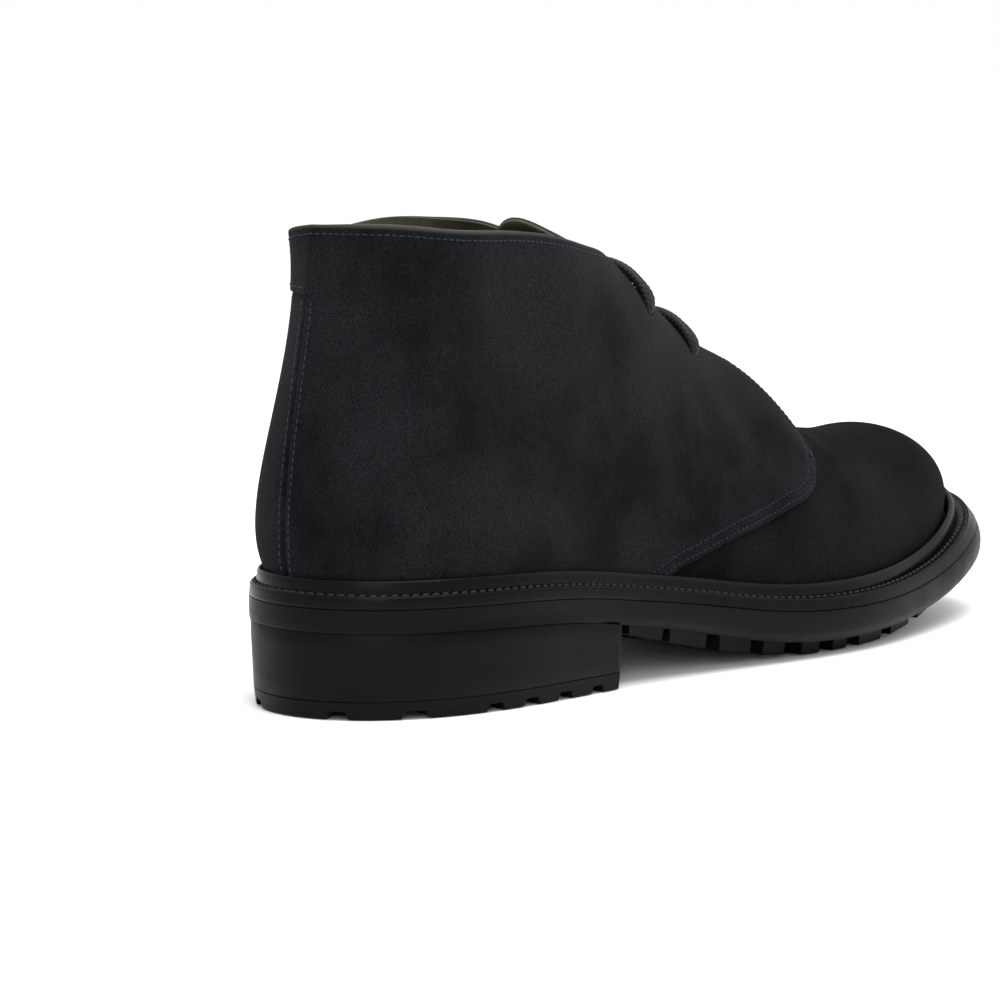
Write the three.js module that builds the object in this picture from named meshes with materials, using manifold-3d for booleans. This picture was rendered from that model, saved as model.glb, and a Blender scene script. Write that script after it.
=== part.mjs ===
// A right-foot chukka boot in millimetres, +Z up, toe towards +X, medial side towards +Y.
// Drawn with the back of the heel at x = 0, then shifted to the middle of its own box.
import * as THREE from "three";
import { mergeVertices } from "three/addons/utils/BufferGeometryUtils.js";
import Module from "manifold-3d";

const wasm = await Module();
wasm.setup();

function table(names, ...rows) {
  // rows of numbers as objects with the given keys
  const keys = names.split(" ");
  return rows.map((row) => Object.fromEntries(keys.map((key, i) => [key, row[i]])));
}

// ---------------------------------------------------------------- driving dimensions
const GAP = 0.35; // between pieces that meet
const WELT_THICK = 3.8;
const WELT_WIDE = 15;
const BEAD_HIGH = 4;
const WALL = 2.2; // leather and lining together
const TONGUE_THICK = 2;
const TONGUE_FREE = 118; // behind this the tongue sags under the arches' line
const TONGUE_SAG = 0.16; // by this much per millimetre
const INSOLE_THICK = 3;
const LACE_DIAMETER = 3.2;
const HEEL_BREAST = 97; // from the back of the heel
const LIFT_THICK = 5;
const HEEL_TAPER = 0.9; // the heel block narrows by this to the floor
const TOE_BULGE = 1.1; // how far the toe's wall swells over the feather line
const AROUND = 84; // steps round the sole's outline
const BEAD_SHARE = 0.42; // of the welt's margin
const EYELETS = [157, 134]; // from the vamp up
const EYELET_MARGIN = 9; // from the facing's edge
const LACE_CLEAR = LACE_DIAMETER / 2 + 0.5; // from the facing's face to a strand's middle
const LACE_DIP = 1.2; // how much lower a bar passes over the ridge line
const LACE_SPACING = 2.6; // between the two strands of a bar
const TONGUE_SPACE = 0.8; // between the facings' lining and the tongue
const LUG_FLAT = 0.25; // trimmed off the lugs, so that those under the ball share one plane
const LUG_EDGE = 6.5; // from the sole's edge in to its lugs
const LUGS = [
  { from: 107, to: 122, deep: 20 },
  { from: 124.5, to: 140, deep: 27 },
  { from: 145, to: 158, deep: 22 },
  { from: 163, to: 172, deep: 28 },
  { from: 179, to: 187, deep: 22 },
  { from: 193, to: 200, deep: 28 },
  { from: 206, to: 220, deep: 22 },
  { from: 226, to: 240, deep: 28 },
  { from: 246, to: 262, deep: 22 },
  { from: 267, to: 281, deep: 20 },
];
const NOTCH_HIGH = 2.2;
// Notches round the top lift: their place along the boot, width, and depth from the edge.
const LIFT_NOTCHES = table(
  "x wide reach",
  [4.5, 5, 9],
  [21.6, 6.8, 14],
  [46.5, 4.5, 20],
  [60.1, 4.5, 20],
  [73.9, 4.5, 20],
  [87.8, 3.6, 20],
);

// Outer edge of the welt, from the back of the heel along the lateral side to the toe and back.
const OUTLINE = [
  { x: 0, y: -3.5 },
  { x: 8, y: -23.4 },
  { x: 32, y: -38.5 },
  { x: 80, y: -43.0 },
  { x: 125, y: -43.5 },
  { x: 165, y: -47.5 },
  { x: 203, y: -49.5 },
  { x: 240, y: -42.5 },
  { x: 272, y: -31.5 },
  { x: 293, y: -16.5 },
  { x: 302, y: 4.6 },
  { x: 297, y: 26.5 },
  { x: 280, y: 42 },
  { x: 250, y: 50 },
  { x: 215, y: 51 },
  { x: 180, y: 44 },
  { x: 145, y: 34 },
  { x: 105, y: 30.5 },
  { x: 70, y: 33 },
  { x: 32, y: 33 },
  { x: 7, y: 18 },
];

// Along the sole: height of the welt's top face, thickness of welt and outsole together, the margin
// from the welt's edge in to the upper's lower edge, how far the sidewall swells and then tucks in
// below, and how far the lugs stand out.
const SOLE = [
  { x: -10, top: 35.3, thick: 10.6, margin: 3.7, swell: 0.3, tuck: 0, lug: 2.4 },
  { x: 0, top: 35, thick: 10.6, margin: 3.7, swell: 0.3, tuck: 0, lug: 2.4 },
  { x: 85, top: 31.6, thick: 10.8, margin: 5.4, swell: 0.3, tuck: 0, lug: 2.4 },
  { x: 105, top: 28.8, thick: 11.4, margin: 6, swell: 0.4, tuck: 2, lug: 2.4 },
  { x: 130, top: 25, thick: 12.2, margin: 6.6, swell: 0.7, tuck: 2.4, lug: 4 },
  { x: 165, top: 19.4, thick: 13.4, margin: 7.2, swell: 0.8, tuck: 2.4, lug: 4 },
  { x: 204, top: 17.7, thick: 13.5, margin: 7.6, swell: 0.8, tuck: 2.4, lug: 4.2 },
  { x: 252, top: 21.9, thick: 13.6, margin: 8, swell: 1.6, tuck: 1.8, lug: 4.2 },
  { x: 302, top: 36, thick: 14.8, margin: 8.4, swell: 4.9, tuck: -2, lug: 4 },
];

// Quarter sections that fan round the heel and run forward to the collar's front.
// turn: degrees from the boot's axis; middle: the section's own centre line; bulge and lift place the
// first handle above the feather, sway and drop the second below the collar; out is the collar's
// reach from the middle, outer_top and inner_top its height on the lateral and medial side.
const COLLAR = table(
  "x turn middle bulge lift sway drop out outer_top inner_top",
  [38, 0, 0, 4.6, 20, 4, 36, 23.5, 136.5, 136.5],
  [38, 30, -1.5, 8.4, 20, -3, 37, 24, 136.8, 135],
  [39, 60, -3, 8.6, 20, -6, 38, 26, 136.4, 132.6],
  [41, 90, -3.3, 5, 22, -4, 36, 28.5, 134.8, 131.6],
  [66, 90, -2.6, 3, 22, -2, 34, 28.8, 133.3, 134.4],
);

// Arched sections across the boot, forward of the ankle. outer_bulge and inner_bulge with lift place
// the handle above the feather on each side, half is the handle's reach beside the ridge, ridge is
// the arch's top, gap is half the opening between the facings, and rise is how much less it is on the
// medial side, where the collar's front stands higher.
const ARCH = table(
  "x middle outer_bulge inner_bulge lift half ridge gap rise",
  [88, -1.8, 0, 8, 66, 31, 152, 25.8, 2],
  [103, -1.4, 0, 9, 66, 29, 140, 22, 4],
  [113, -1, 0, 9, 63, 28, 132.5, 18, 3.4],
  [121, -0.8, 0, 8, 57, 26, 127, 13.6, 0.8],
  [130, -0.6, 0.5, 7, 48, 24, 121.2, 11, 0],
  [150, 0, 1, 6, 35, 21, 107, 9, 0],
  [172, 0.8, 1.5, 4, 27, 20, 93.9, 7.5, 0],
  [192, 1.6, 2, 3, 22, 23.1, 83.8, 6, 0],
  [208, 2.2, 2, 2.5, 20, 20.5, 70.5, 4, 0],
  [214, 2.6, 2, 2.5, 19, 23.8, 66.7, 0, 0],
  [234, 3.4, 2.2, 2.5, 17, 23.5, 61.2, 0, 0],
  [256, 4.2, 2.4, 2.5, 17.6, 23.4, 60.1, 0, 0],
);
// Forward of the last arch the ridge drops to the toe's tip as a superellipse.
const TOE_START = 256;
const TOE_POWER = 1.63;
const TOE_STEPS = 7;

// ---------------------------------------------------------------- small helpers
function spline(xs, ys) {
  // natural cubic spline through the given values
  const n = xs.length;
  const m = new Array(n).fill(0);
  const c = new Array(n).fill(0);
  const d = new Array(n).fill(0);
  for (let i = 1; i < n - 1; i++) {
    const h0 = xs[i] - xs[i - 1];
    const h1 = xs[i + 1] - xs[i];
    const rhs = 6 * ((ys[i + 1] - ys[i]) / h1 - (ys[i] - ys[i - 1]) / h0);
    const w = 2 * (h0 + h1) - h0 * c[i - 1];
    c[i] = h1 / w;
    d[i] = (rhs - h0 * d[i - 1]) / w;
  }
  for (let i = n - 2; i > 0; i--) {
    m[i] = d[i] - c[i] * m[i + 1];
  }
  return (x) => {
    let i = 0;
    while (i < n - 2 && x > xs[i + 1]) i++;
    const h = xs[i + 1] - xs[i];
    const a = (xs[i + 1] - x) / h;
    const b = (x - xs[i]) / h;
    const bend = ((a ** 3 - a) * m[i] + (b ** 3 - b) * m[i + 1]) * (h * h / 6);
    return a * ys[i] + b * ys[i + 1] + bend;
  };
}

function column(rows, name, key = "x") {
  return spline(rows.map((r) => r[key]), rows.map((r) => r[name]));
}

const weltTop = column(SOLE, "top");
const soleThick = column(SOLE, "thick");
const margin = column(SOLE, "margin");
const swell = column(SOLE, "swell");
const tuck = column(SOLE, "tuck");
const lugHigh = column(SOLE, "lug");

function outline(steps) {
  // points round the welt's outer edge with their outward normals
  const wrap = 3;
  const loop = [...OUTLINE.slice(-wrap), ...OUTLINE, ...OUTLINE.slice(0, wrap + 1)];
  const along = [0];
  for (let i = 1; i < loop.length; i++) {
    along.push(along[i - 1] + Math.hypot(loop[i].x - loop[i - 1].x, loop[i].y - loop[i - 1].y));
  }
  const fx = spline(along, loop.map((p) => p.x));
  const fy = spline(along, loop.map((p) => p.y));
  const start = along[wrap];
  const length = along[wrap + OUTLINE.length] - start;
  const points = [];
  for (let i = 0; i < steps; i++) {
    const s = start + (length * i) / steps;
    const tx = fx(s + 0.1) - fx(s - 0.1);
    const ty = fy(s + 0.1) - fy(s - 0.1);
    const t = Math.hypot(tx, ty);
    points.push({ x: fx(s), y: fy(s), nx: ty / t, ny: -tx / t });
  }
  const middle = points.reduce((sum, p) => sum + p.x * p.nx + p.y * p.ny, 0);
  if (middle < 0) {
    points.forEach((p) => {
      p.nx = -p.nx;
      p.ny = -p.ny;
    });
  }
  return points;
}

const EDGE = outline(AROUND);
const FINE_EDGE = outline(600);

function inset(points, by) {
  // by is a distance, or a distance as a function of x
  return points.map((p) => {
    const d = typeof by === "number" ? by : by(p.x);
    return { x: p.x - p.nx * d, y: p.y - p.ny * d };
  });
}

function hit(loop, ox, oy, dx, dy) {
  // distance from a point inside a loop to its edge, along a direction
  let best = Infinity;
  for (let i = 0; i < loop.length; i++) {
    const a = loop[i];
    const b = loop[(i + 1) % loop.length];
    const ex = b.x - a.x;
    const ey = b.y - a.y;
    const det = dx * -ey + dy * ex;
    if (Math.abs(det) < 1e-12) continue;
    const r = ((a.x - ox) * -ey + (a.y - oy) * ex) / det;
    const s = (dx * (a.y - oy) - dy * (a.x - ox)) / det;
    if (r > 0 && s >= 0 && s <= 1 && r < best) best = r;
  }
  return best;
}

function bezier(p, t) {
  const u = 1 - t;
  const w = [u * u * u, 3 * u * u * t, 3 * u * t * t, t * t * t];
  return [0, 1].map((k) => w.reduce((sum, wi, i) => sum + wi * p[i][k], 0));
}

function indexed(vertices, triangles) {
  const geometry = new THREE.BufferGeometry();
  geometry.setAttribute("position", new THREE.Float32BufferAttribute(vertices, 3));
  geometry.setIndex(triangles);
  return geometry;
}

function solid(geometry) {
  const plain = geometry.clone();
  plain.deleteAttribute("normal");
  plain.deleteAttribute("uv");
  const merged = mergeVertices(plain, 1e-3);
  const triVerts = [];
  const index = merged.index.array;
  for (let i = 0; i < index.length; i += 3) {
    const [a, b, c] = [index[i], index[i + 1], index[i + 2]];
    if (a !== b && b !== c && c !== a) triVerts.push(a, b, c);
  }
  return new wasm.Manifold(new wasm.Mesh({
    numProp: 3,
    vertProperties: new Float32Array(merged.attributes.position.array),
    triVerts: new Uint32Array(triVerts),
  }));
}

function geometryOf(made) {
  const mesh = made.getMesh();
  const geometry = new THREE.BufferGeometry();
  const positions = [];
  for (let i = 0; i < mesh.numVert; i++) {
    positions.push(...mesh.vertProperties.subarray(i * mesh.numProp, i * mesh.numProp + 3));
  }
  geometry.setAttribute("position", new THREE.Float32BufferAttribute(positions, 3));
  geometry.setIndex([...mesh.triVerts]);
  return geometry;
}

function stack(rings) {
  // a closed solid through rings of equal length, lowest first, each counter-clockwise from above
  const n = rings[0].length;
  const vertices = rings.flat().flatMap((p) => [p.x, p.y, p.z]);
  const triangles = [];
  for (let k = 0; k < rings.length - 1; k++) {
    for (let i = 0; i < n; i++) {
      const j = (i + 1) % n;
      const a = k * n + i;
      const b = k * n + j;
      triangles.push(a, b, b + n, a, b + n, a + n);
    }
  }
  const last = (rings.length - 1) * n;
  for (let i = 0; i < n / 2; i++) {
    // each cap is a ladder between the two long sides
    const j = (n - i) % n;
    const a = [i, i + 1, n - i - 1, j];
    triangles.push(a[0], a[3], a[2], a[0], a[2], a[1]);
    triangles.push(last + a[0], last + a[2], last + a[3], last + a[0], last + a[1], last + a[2]);
  }
  return indexed(vertices, triangles);
}

function band(sections) {
  // a closed ring: each section is a loop of points, and the last joins the first
  const n = sections[0].length;
  const vertices = sections.flat().flatMap((p) => [p.x, p.y, p.z]);
  const triangles = [];
  for (let k = 0; k < sections.length; k++) {
    const next = (k + 1) % sections.length;
    for (let i = 0; i < n; i++) {
      const j = (i + 1) % n;
      const [a, b, c, d] = [k * n + i, k * n + j, next * n + j, next * n + i];
      triangles.push(a, b, c, a, c, d);
    }
  }
  return indexed(vertices, triangles);
}

function counterClockwise(points) {
  const flat = points.map((p) => new THREE.Vector2(p.x, p.y));
  return THREE.ShapeUtils.isClockWise(flat) ? [...points].reverse() : points;
}

function prism(outlinePoints, bottom, top) {
  // an upright block on an outline; bottom and top are heights as functions of x
  const corners = counterClockwise(outlinePoints);
  const flat = corners.map((c) => new THREE.Vector2(c.x, c.y));
  const faces = THREE.ShapeUtils.triangulateShape(flat, []);
  const n = corners.length;
  const vertices = [];
  corners.forEach((c) => vertices.push(c.x, c.y, bottom(c.x)));
  corners.forEach((c) => vertices.push(c.x, c.y, top(c.x)));
  const triangles = [];
  faces.forEach(([a, b, c]) => triangles.push(a, c, b, a + n, b + n, c + n));
  for (let i = 0; i < n; i++) {
    const j = (i + 1) % n;
    triangles.push(i, j, j + n, i, j + n, i + n);
  }
  return indexed(vertices, triangles);
}

function rightHanded(made) {
  // turns a solid's faces outwards where its loop ran the other way
  if (made.volume() > 0) return made;
  const mesh = made.getMesh();
  const triVerts = mesh.triVerts.map((v, i, all) => all[i + [0, 1, -1][i % 3]]);
  return new wasm.Manifold(new wasm.Mesh({ numProp: 3, vertProperties: mesh.vertProperties, triVerts }));
}

// ---------------------------------------------------------------- the upper's surface
const FEATHER = inset(FINE_EDGE, margin);
const FEATHER_FINE = inset(outline(6000), margin);
const TIP = FEATHER.reduce((best, p) => (p.x > best.x ? p : best));
const footAt = (x) => weltTop(x) + GAP;
const baseAt = (x) => footAt(x) + BEAD_HIGH; // the wall stands upright behind the bead
const bow = (x) => THREE.MathUtils.smoothstep(x, 250, TIP.x);

function collarProfile(row, side, steps) {
  const turn = THREE.MathUtils.degToRad(row.turn);
  const dx = -Math.cos(turn);
  const dy = side * Math.sin(turn);
  const reach = hit(FEATHER, row.x, row.middle, dx, dy);
  const base = baseAt(row.x + dx * reach);
  const top = side < 0 ? row.outer_top : row.inner_top;
  const handles = [
    [reach, base],
    [reach + row.bulge, base + row.lift],
    [row.out + row.sway, top - row.drop],
    [row.out, top],
  ];
  const points = [new THREE.Vector3(row.x + dx * reach, row.middle + dy * reach, base - BEAD_HIGH)];
  for (let j = 0; j < steps; j++) {
    const [r, z] = bezier(handles, j / (steps - 1));
    points.push(new THREE.Vector3(row.x + dx * r, row.middle + dy * r, z));
  }
  return points;
}

function archHandles(row, side) {
  const reach = hit(FEATHER, row.x, row.middle, 0, side);
  const base = baseAt(row.x);
  return [
    [reach, base],
    [reach + (side < 0 ? row.outer_bulge : row.inner_bulge), base + row.lift],
    [row.half, row.ridge],
    [0, row.ridge],
  ];
}

function archStop(handles, gap) {
  // the curve parameter at which the arch comes within gap of the ridge
  if (gap <= 0) return 1;
  let [low, high] = [0.3, 1];
  for (let i = 0; i < 30; i++) {
    const middle = (low + high) / 2;
    if (bezier(handles, middle)[0] > gap) low = middle;
    else high = middle;
  }
  return low;
}

function archProfile(row, side, steps) {
  const handles = archHandles(row, side);
  const stop = archStop(handles, side < 0 ? row.gap : row.gap - row.rise);
  const [reach, base] = handles[0];
  const points = [new THREE.Vector3(row.x, row.middle + side * reach, base - BEAD_HIGH)];
  for (let j = 0; j < steps; j++) {
    const [r, z] = bezier(handles, (stop * j) / (steps - 1));
    const forward = bow(row.x) * TOE_BULGE * Math.sin(Math.PI * Math.min(1, (z - base) / 30));
    points.push(new THREE.Vector3(row.x + forward, row.middle + side * r, z));
  }
  return points;
}

function toeRows() {
  const last = ARCH[ARCH.length - 1];
  const rows = [];
  for (let i = 1; i <= TOE_STEPS; i++) {
    const a = (Math.PI / 2) * (i / TOE_STEPS);
    const share = Math.sin(a);
    const x = TOE_START + (TIP.x - TOE_START) * share;
    const keep = (1 - share ** TOE_POWER) ** (1 / TOE_POWER);
    const high = (last.ridge - baseAt(last.x)) * keep;
    rows.push({
      x: Math.min(x, TIP.x - 0.02),
      middle: last.middle + (TIP.y - last.middle) * share,
      outer_bulge: last.outer_bulge * keep,
      inner_bulge: last.inner_bulge * keep,
      lift: last.lift * keep,
      half: last.half * keep,
      ridge: baseAt(x) + high,
      gap: 0,
      rise: 0,
    });
  }
  return rows;
}

function nearest(loop, p) {
  return loop.reduce((best, q) => {
    const d = (q.x - p.x) ** 2 + (q.y - p.y) ** 2;
    return d < best.d ? { d, x: q.x, y: q.y } : best;
  }, { d: Infinity });
}

function seat(profile) {
  // brings a splined profile's foot onto the feather line, fading out up the wall
  const q = nearest(FEATHER_FINE, profile[0]);
  const shift = { x: q.x - profile[0].x, y: q.y - profile[0].y };
  profile.forEach((p, j) => {
    const keep = j < 2 ? 1 : Math.max(0, 1 - (j - 1) / 7);
    p.x += shift.x * keep;
    p.y += shift.y * keep;
  });
  profile[0].z = footAt(q.x);
  profile[1].x = profile[0].x;
  profile[1].y = profile[0].y;
  profile[1].z = baseAt(q.x);
}

function upperStations(side, steps) {
  const arches = [...ARCH, ...toeRows()];
  const tip = (z) => new THREE.Vector3(TIP.x, TIP.y, z);
  const profiles = [
    ...COLLAR.map((row) => collarProfile(row, side, steps)),
    ...arches.map((row) => archProfile(row, side, steps)),
  ];
  const point = tip(baseAt(TIP.x));
  profiles[profiles.length - 1] = profiles[0].map((p, j) => (j ? point.clone() : tip(footAt(TIP.x))));
  return profiles;
}

function finer(profiles, between) {
  // splines each profile point from section to section
  const middle = Math.floor(profiles[0].length / 3);
  const along = [0];
  for (let k = 1; k < profiles.length; k++) {
    along.push(along[k - 1] + profiles[k][middle].distanceTo(profiles[k - 1][middle]) + 1);
  }
  const steps = profiles[0].length;
  const curves = [];
  for (let j = 0; j < steps; j++) {
    curves.push(["x", "y", "z"].map((axis) => spline(along, profiles.map((p) => p[j][axis]))));
  }
  const made = [];
  for (let k = 0; k < profiles.length - 1; k++) {
    const parts = between(k);
    for (let i = 0; i < parts; i++) {
      const s = along[k] + ((along[k + 1] - along[k]) * i) / parts;
      const profile = curves.map((c) => new THREE.Vector3(c[0](s), c[1](s), c[2](s)));
      if (i > 0) seat(profile);
      made.push(profile);
    }
  }
  made.push(profiles[profiles.length - 1].map((p) => p.clone()));
  return made;
}

function upper() {
  const steps = 14;
  const closedFrom = COLLAR.length + ARCH.findIndex((row) => row.gap === 0);
  const parts = (k) => (k < 4 ? 3 : 2);
  const sides = [-1, 1].map((side) => finer(upperStations(side, steps), parts));
  let closed = 0;
  for (let k = 0; k < closedFrom; k++) closed += parts(k);
  const columns = [...sides[0], ...sides[1].slice(1, -1).reverse()];
  const lateral = sides[0].length;
  const total = columns.length;
  const rows = steps + 1;
  const at = (i, j) => ((i + total) % total) * rows + j;
  // the two sides share the ridge forward of the throat
  const seam = (i) => (i < lateral ? i : total - i);
  columns.forEach((column, i) => {
    if (seam(i) >= closed && i >= lateral) {
      column[steps].copy(sides[0][seam(i)][steps]);
    }
  });
  const outer = columns.flat();
  const skin = [];
  for (let i = 0; i < total; i++) {
    for (let j = 0; j < steps; j++) {
      const [a, b, c, d] = [at(i, j), at(i + 1, j), at(i + 1, j + 1), at(i, j + 1)];
      skin.push(a, b, c, a, c, d);
    }
  }
  const shell = indexed(outer.flatMap((p) => [p.x, p.y, p.z]), skin);
  const merged = mergeVertices(shell, 1e-3);
  merged.computeVertexNormals();
  const place = merged.attributes.position;
  const normal = merged.attributes.normal;
  const lookup = new Map();
  const key = (x, y, z) => [x, y, z].map((v) => Math.round(v * 500)).join(",");
  for (let i = 0; i < place.count; i++) {
    const n = new THREE.Vector3().fromBufferAttribute(normal, i);
    lookup.set(key(place.getX(i), place.getY(i), place.getZ(i)), n);
  }
  const inner = outer.map((p) => {
    const v = new THREE.Vector3(Math.fround(p.x), Math.fround(p.y), Math.fround(p.z));
    const n = lookup.get(key(v.x, v.y, v.z)) ?? new THREE.Vector3();
    return p.clone().addScaledVector(n, -WALL);
  });
  for (let i = 0; i < total; i++) {
    inner[at(i, 0)].z = outer[at(i, 0)].z;
  }
  const count = outer.length;
  const triangles = [...skin];
  for (let i = 0; i < skin.length; i += 3) {
    triangles.push(skin[i] + count, skin[i + 2] + count, skin[i + 1] + count);
  }
  for (let i = 0; i < total; i++) {
    const [a, b] = [at(i, 0), at(i + 1, 0)];
    triangles.push(a, a + count, b + count, a, b + count, b);
    const open = seam(i) < closed || seam((i + 1) % total) < closed;
    if (open) {
      const [c, d] = [at(i, steps), at(i + 1, steps)];
      triangles.push(c, d + count, c + count, c, d, d + count);
    }
  }
  const all = [...outer, ...inner].flatMap((p) => [p.x, p.y, p.z]);
  return geometryOf(rightHanded(solid(indexed(all, triangles))));
}

// ---------------------------------------------------------------- tongue
function tongue() {
  // follows the arches' underside from just above the collar to beneath the vamp
  const rows = ARCH.filter((row) => row.x < 240);
  const long = 18;
  const wide = 10;
  const xs = rows.map((row) => row.x);
  const half = spline([96, 130, 180, 232], [22, 21, 17, 12]);
  const top = spline([-24, -12, 0, 12, 24], [117, 112, 107, 103.5, 106]);
  const field = (side, share) => {
    // an arch point at a given share of the half width, splined along the boot
    const made = rows.map((row) => {
      const handles = archHandles(row, side);
      const [r, z] = bezier(handles, archStop(handles, Math.max(share * half(row.x), 0)));
      return [row.middle + side * r, z];
    });
    return [spline(xs, made.map((m) => m[0])), spline(xs, made.map((m) => m[1]))];
  };
  const surface = [];
  for (let j = 0; j <= wide; j++) {
    const v = (2 * j) / wide - 1;
    const [fy, fz] = field(v < 0 ? -1 : 1, Math.abs(v));
    const start = top(v * 24);
    const column = [];
    for (let i = 0; i <= long; i++) {
      const x = start + ((232 - start) * i) / long;
      const sag = TONGUE_SAG * Math.max(0, TONGUE_FREE - x);
      column.push(new THREE.Vector3(x, fy(x), fz(x) - sag));
    }
    surface.push(column);
  }
  const normals = surface.map((column, j) => column.map((p, i) => {
    const along = column[Math.min(i + 1, long)].clone().sub(column[Math.max(i - 1, 0)]);
    const across = surface[Math.min(j + 1, wide)][i].clone().sub(surface[Math.max(j - 1, 0)][i]);
    return along.cross(across).normalize();
  }));
  const shell = (depth) => surface.map((column, j) => column.map((p, i) => {
    const away = normals[j][i].z > 0 ? -depth : depth;
    return p.clone().addScaledVector(normals[j][i], away);
  }));
  const outer = shell(WALL + TONGUE_SPACE);
  const inner = shell(WALL + TONGUE_SPACE + TONGUE_THICK);
  const loops = [];
  for (let i = 0; i <= long; i++) {
    const loop = [];
    for (let j = 0; j <= wide; j++) loop.push(outer[j][i]);
    for (let j = wide; j >= 0; j--) loop.push(inner[j][i]);
    loops.push(loop);
  }
  return geometryOf(rightHanded(solid(tubeOf(loops))));
}

function tubeOf(loops) {
  // a closed solid through flat loops; each end cap is a ladder between the loop's two halves
  const n = loops[0].length;
  const vertices = loops.flat().flatMap((p) => [p.x, p.y, p.z]);
  const triangles = [];
  for (let k = 0; k < loops.length - 1; k++) {
    for (let i = 0; i < n; i++) {
      const j = (i + 1) % n;
      const [a, b, c, d] = [k * n + i, k * n + j, (k + 1) * n + j, (k + 1) * n + i];
      triangles.push(a, b, c, a, c, d);
    }
  }
  const end = (loops.length - 1) * n;
  for (let i = 0; i < n / 2 - 1; i++) {
    const j = n - 1 - i;
    triangles.push(i, j, j - 1, i, j - 1, i + 1);
    triangles.push(end + i, end + j - 1, end + j, end + i, end + i + 1, end + j - 1);
  }
  return indexed(vertices, triangles);
}

// ---------------------------------------------------------------- the sole
function welt() {
  // a flat strip all round with a rounded storm bead against the upper
  const bead = 5;
  const sections = EDGE.map((p) => {
    const wide = margin(p.x);
    const beadWide = wide * BEAD_SHARE;
    const at = (depth, rise) => {
      const x = p.x - p.nx * depth;
      return { x, y: p.y - p.ny * depth, z: weltTop(x) + rise };
    };
    const lower = -sideOut(p.x, WELT_THICK / soleThick(p.x));
    const loop = [at(lower, -WELT_THICK), at(0, -0.5), at(0.5, 0)];
    for (let i = 0; i <= bead; i++) {
      const a = (Math.PI * i) / bead;
      const depth = wide - GAP - beadWide / 2 - (beadWide / 2) * Math.cos(a);
      loop.push(at(depth, -0.4 + (BEAD_HIGH + 0.4) * Math.sin(a)));
    }
    loop.push(at(wide - GAP, -0.4), at(WELT_WIDE, -0.4), at(WELT_WIDE, -WELT_THICK));
    return loop;
  });
  return geometryOf(rightHanded(solid(band(sections))));
}

const soleBottom = (x) => weltTop(x) - soleThick(x);

function sideOut(x, share) {
  // how far the sidewall stands out of the outline, from the welt's top (0) to the sole's bottom (1)
  const widest = 0.62;
  if (share < widest) return swell(x) * Math.sin((Math.PI / 2) * (share / widest));
  return swell(x) - (swell(x) + tuck(x)) * ((share - widest) / (1 - widest)) ** 3;
}

function slabRings() {
  // the sidewall swells below the welt and rolls under at its lower edge
  const shares = [1, 0.93, 0.82, 0.62, (WELT_THICK + GAP) / 11];
  return shares.map((share, i) => EDGE.map((p) => {
    const thick = soleThick(p.x);
    const part = i === shares.length - 1 ? (WELT_THICK + GAP) / thick : share;
    const out = sideOut(p.x, part);
    return { x: p.x + p.nx * out, y: p.y + p.ny * out, z: weltTop(p.x) - thick * part };
  }));
}

function lugs() {
  // two rows of edge blocks and a middle row of chevrons, clear of each other and of the heel
  const made = [];
  const floor = (x) => Math.max(0, soleBottom(x) - lugHigh(x) - LUG_FLAT);
  const root = (x) => soleBottom(x) + 2;
  const sideY = (side, x, depth) => {
    const loop = inset(FINE_EDGE, depth);
    return side * hit(loop, x, 0, 0, side);
  };
  for (const side of [-1, 1]) {
    LUGS.forEach(({ from, to, deep }) => {
      const slant = 3;
      made.push([
        { x: from, y: sideY(side, from, LUG_EDGE) },
        { x: to, y: sideY(side, to, LUG_EDGE) },
        { x: to - slant, y: sideY(side, to - slant, deep) },
        { x: from - slant, y: sideY(side, from - slant, deep) },
      ]);
    });
  }
  for (let x = 128; x < 262; x += 19) {
    const y = 2.5;
    made.push([
      { x: x - 5, y },
      { x: x + 1, y: y - 11 },
      { x: x + 8, y: y - 11 },
      { x: x + 3, y },
      { x: x + 8, y: y + 11 },
      { x: x + 1, y: y + 11 },
    ]);
  }
  return made.map((corners) => rightHanded(solid(prism(corners, floor, root))));
}

function outsole() {
  const slab = rightHanded(solid(stack(slabRings())));
  return geometryOf(lugs().reduce((whole, lug) => whole.add(lug), slab));
}

function heelRing(depth, height) {
  // the sole's outline behind the breast, closed straight across it
  const half = EDGE.length / 2;
  const ring = { lateral: [], medial: [] };
  inset(EDGE, depth).forEach((p, i) => {
    if (p.x < HEEL_BREAST - 2) ring[i < half ? "lateral" : "medial"].push(p);
  });
  const loop = inset(FINE_EDGE, depth);
  const corner = (side) => ({ x: HEEL_BREAST, y: side * hit(loop, HEEL_BREAST, 0, 0, side) });
  const points = [...ring.lateral, corner(-1), corner(1), ...ring.medial];
  return points.map((p) => ({ x: p.x, y: p.y, z: height(p.x) }));
}

function block(lower, upperRing) {
  // a closed solid between two rings with triangulated caps
  const n = lower.length;
  const flat = lower.map((p) => new THREE.Vector2(p.x, p.y));
  const faces = THREE.ShapeUtils.triangulateShape(flat, []);
  const vertices = [...lower, ...upperRing].flatMap((p) => [p.x, p.y, p.z]);
  const triangles = [];
  faces.forEach(([a, b, c]) => triangles.push(a, c, b, a + n, b + n, c + n));
  for (let i = 0; i < n; i++) {
    const j = (i + 1) % n;
    triangles.push(i, j, j + n, i, j + n, i + n);
  }
  return rightHanded(solid(indexed(vertices, triangles)));
}

function heel() {
  const share = (LIFT_THICK + GAP) / (weltTop(40) - soleThick(40));
  const lower = heelRing(HEEL_TAPER * (1 - share), () => LIFT_THICK + GAP);
  const higher = heelRing(0.1, (x) => soleBottom(x) - GAP);
  return geometryOf(block(lower, higher));
}

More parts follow.
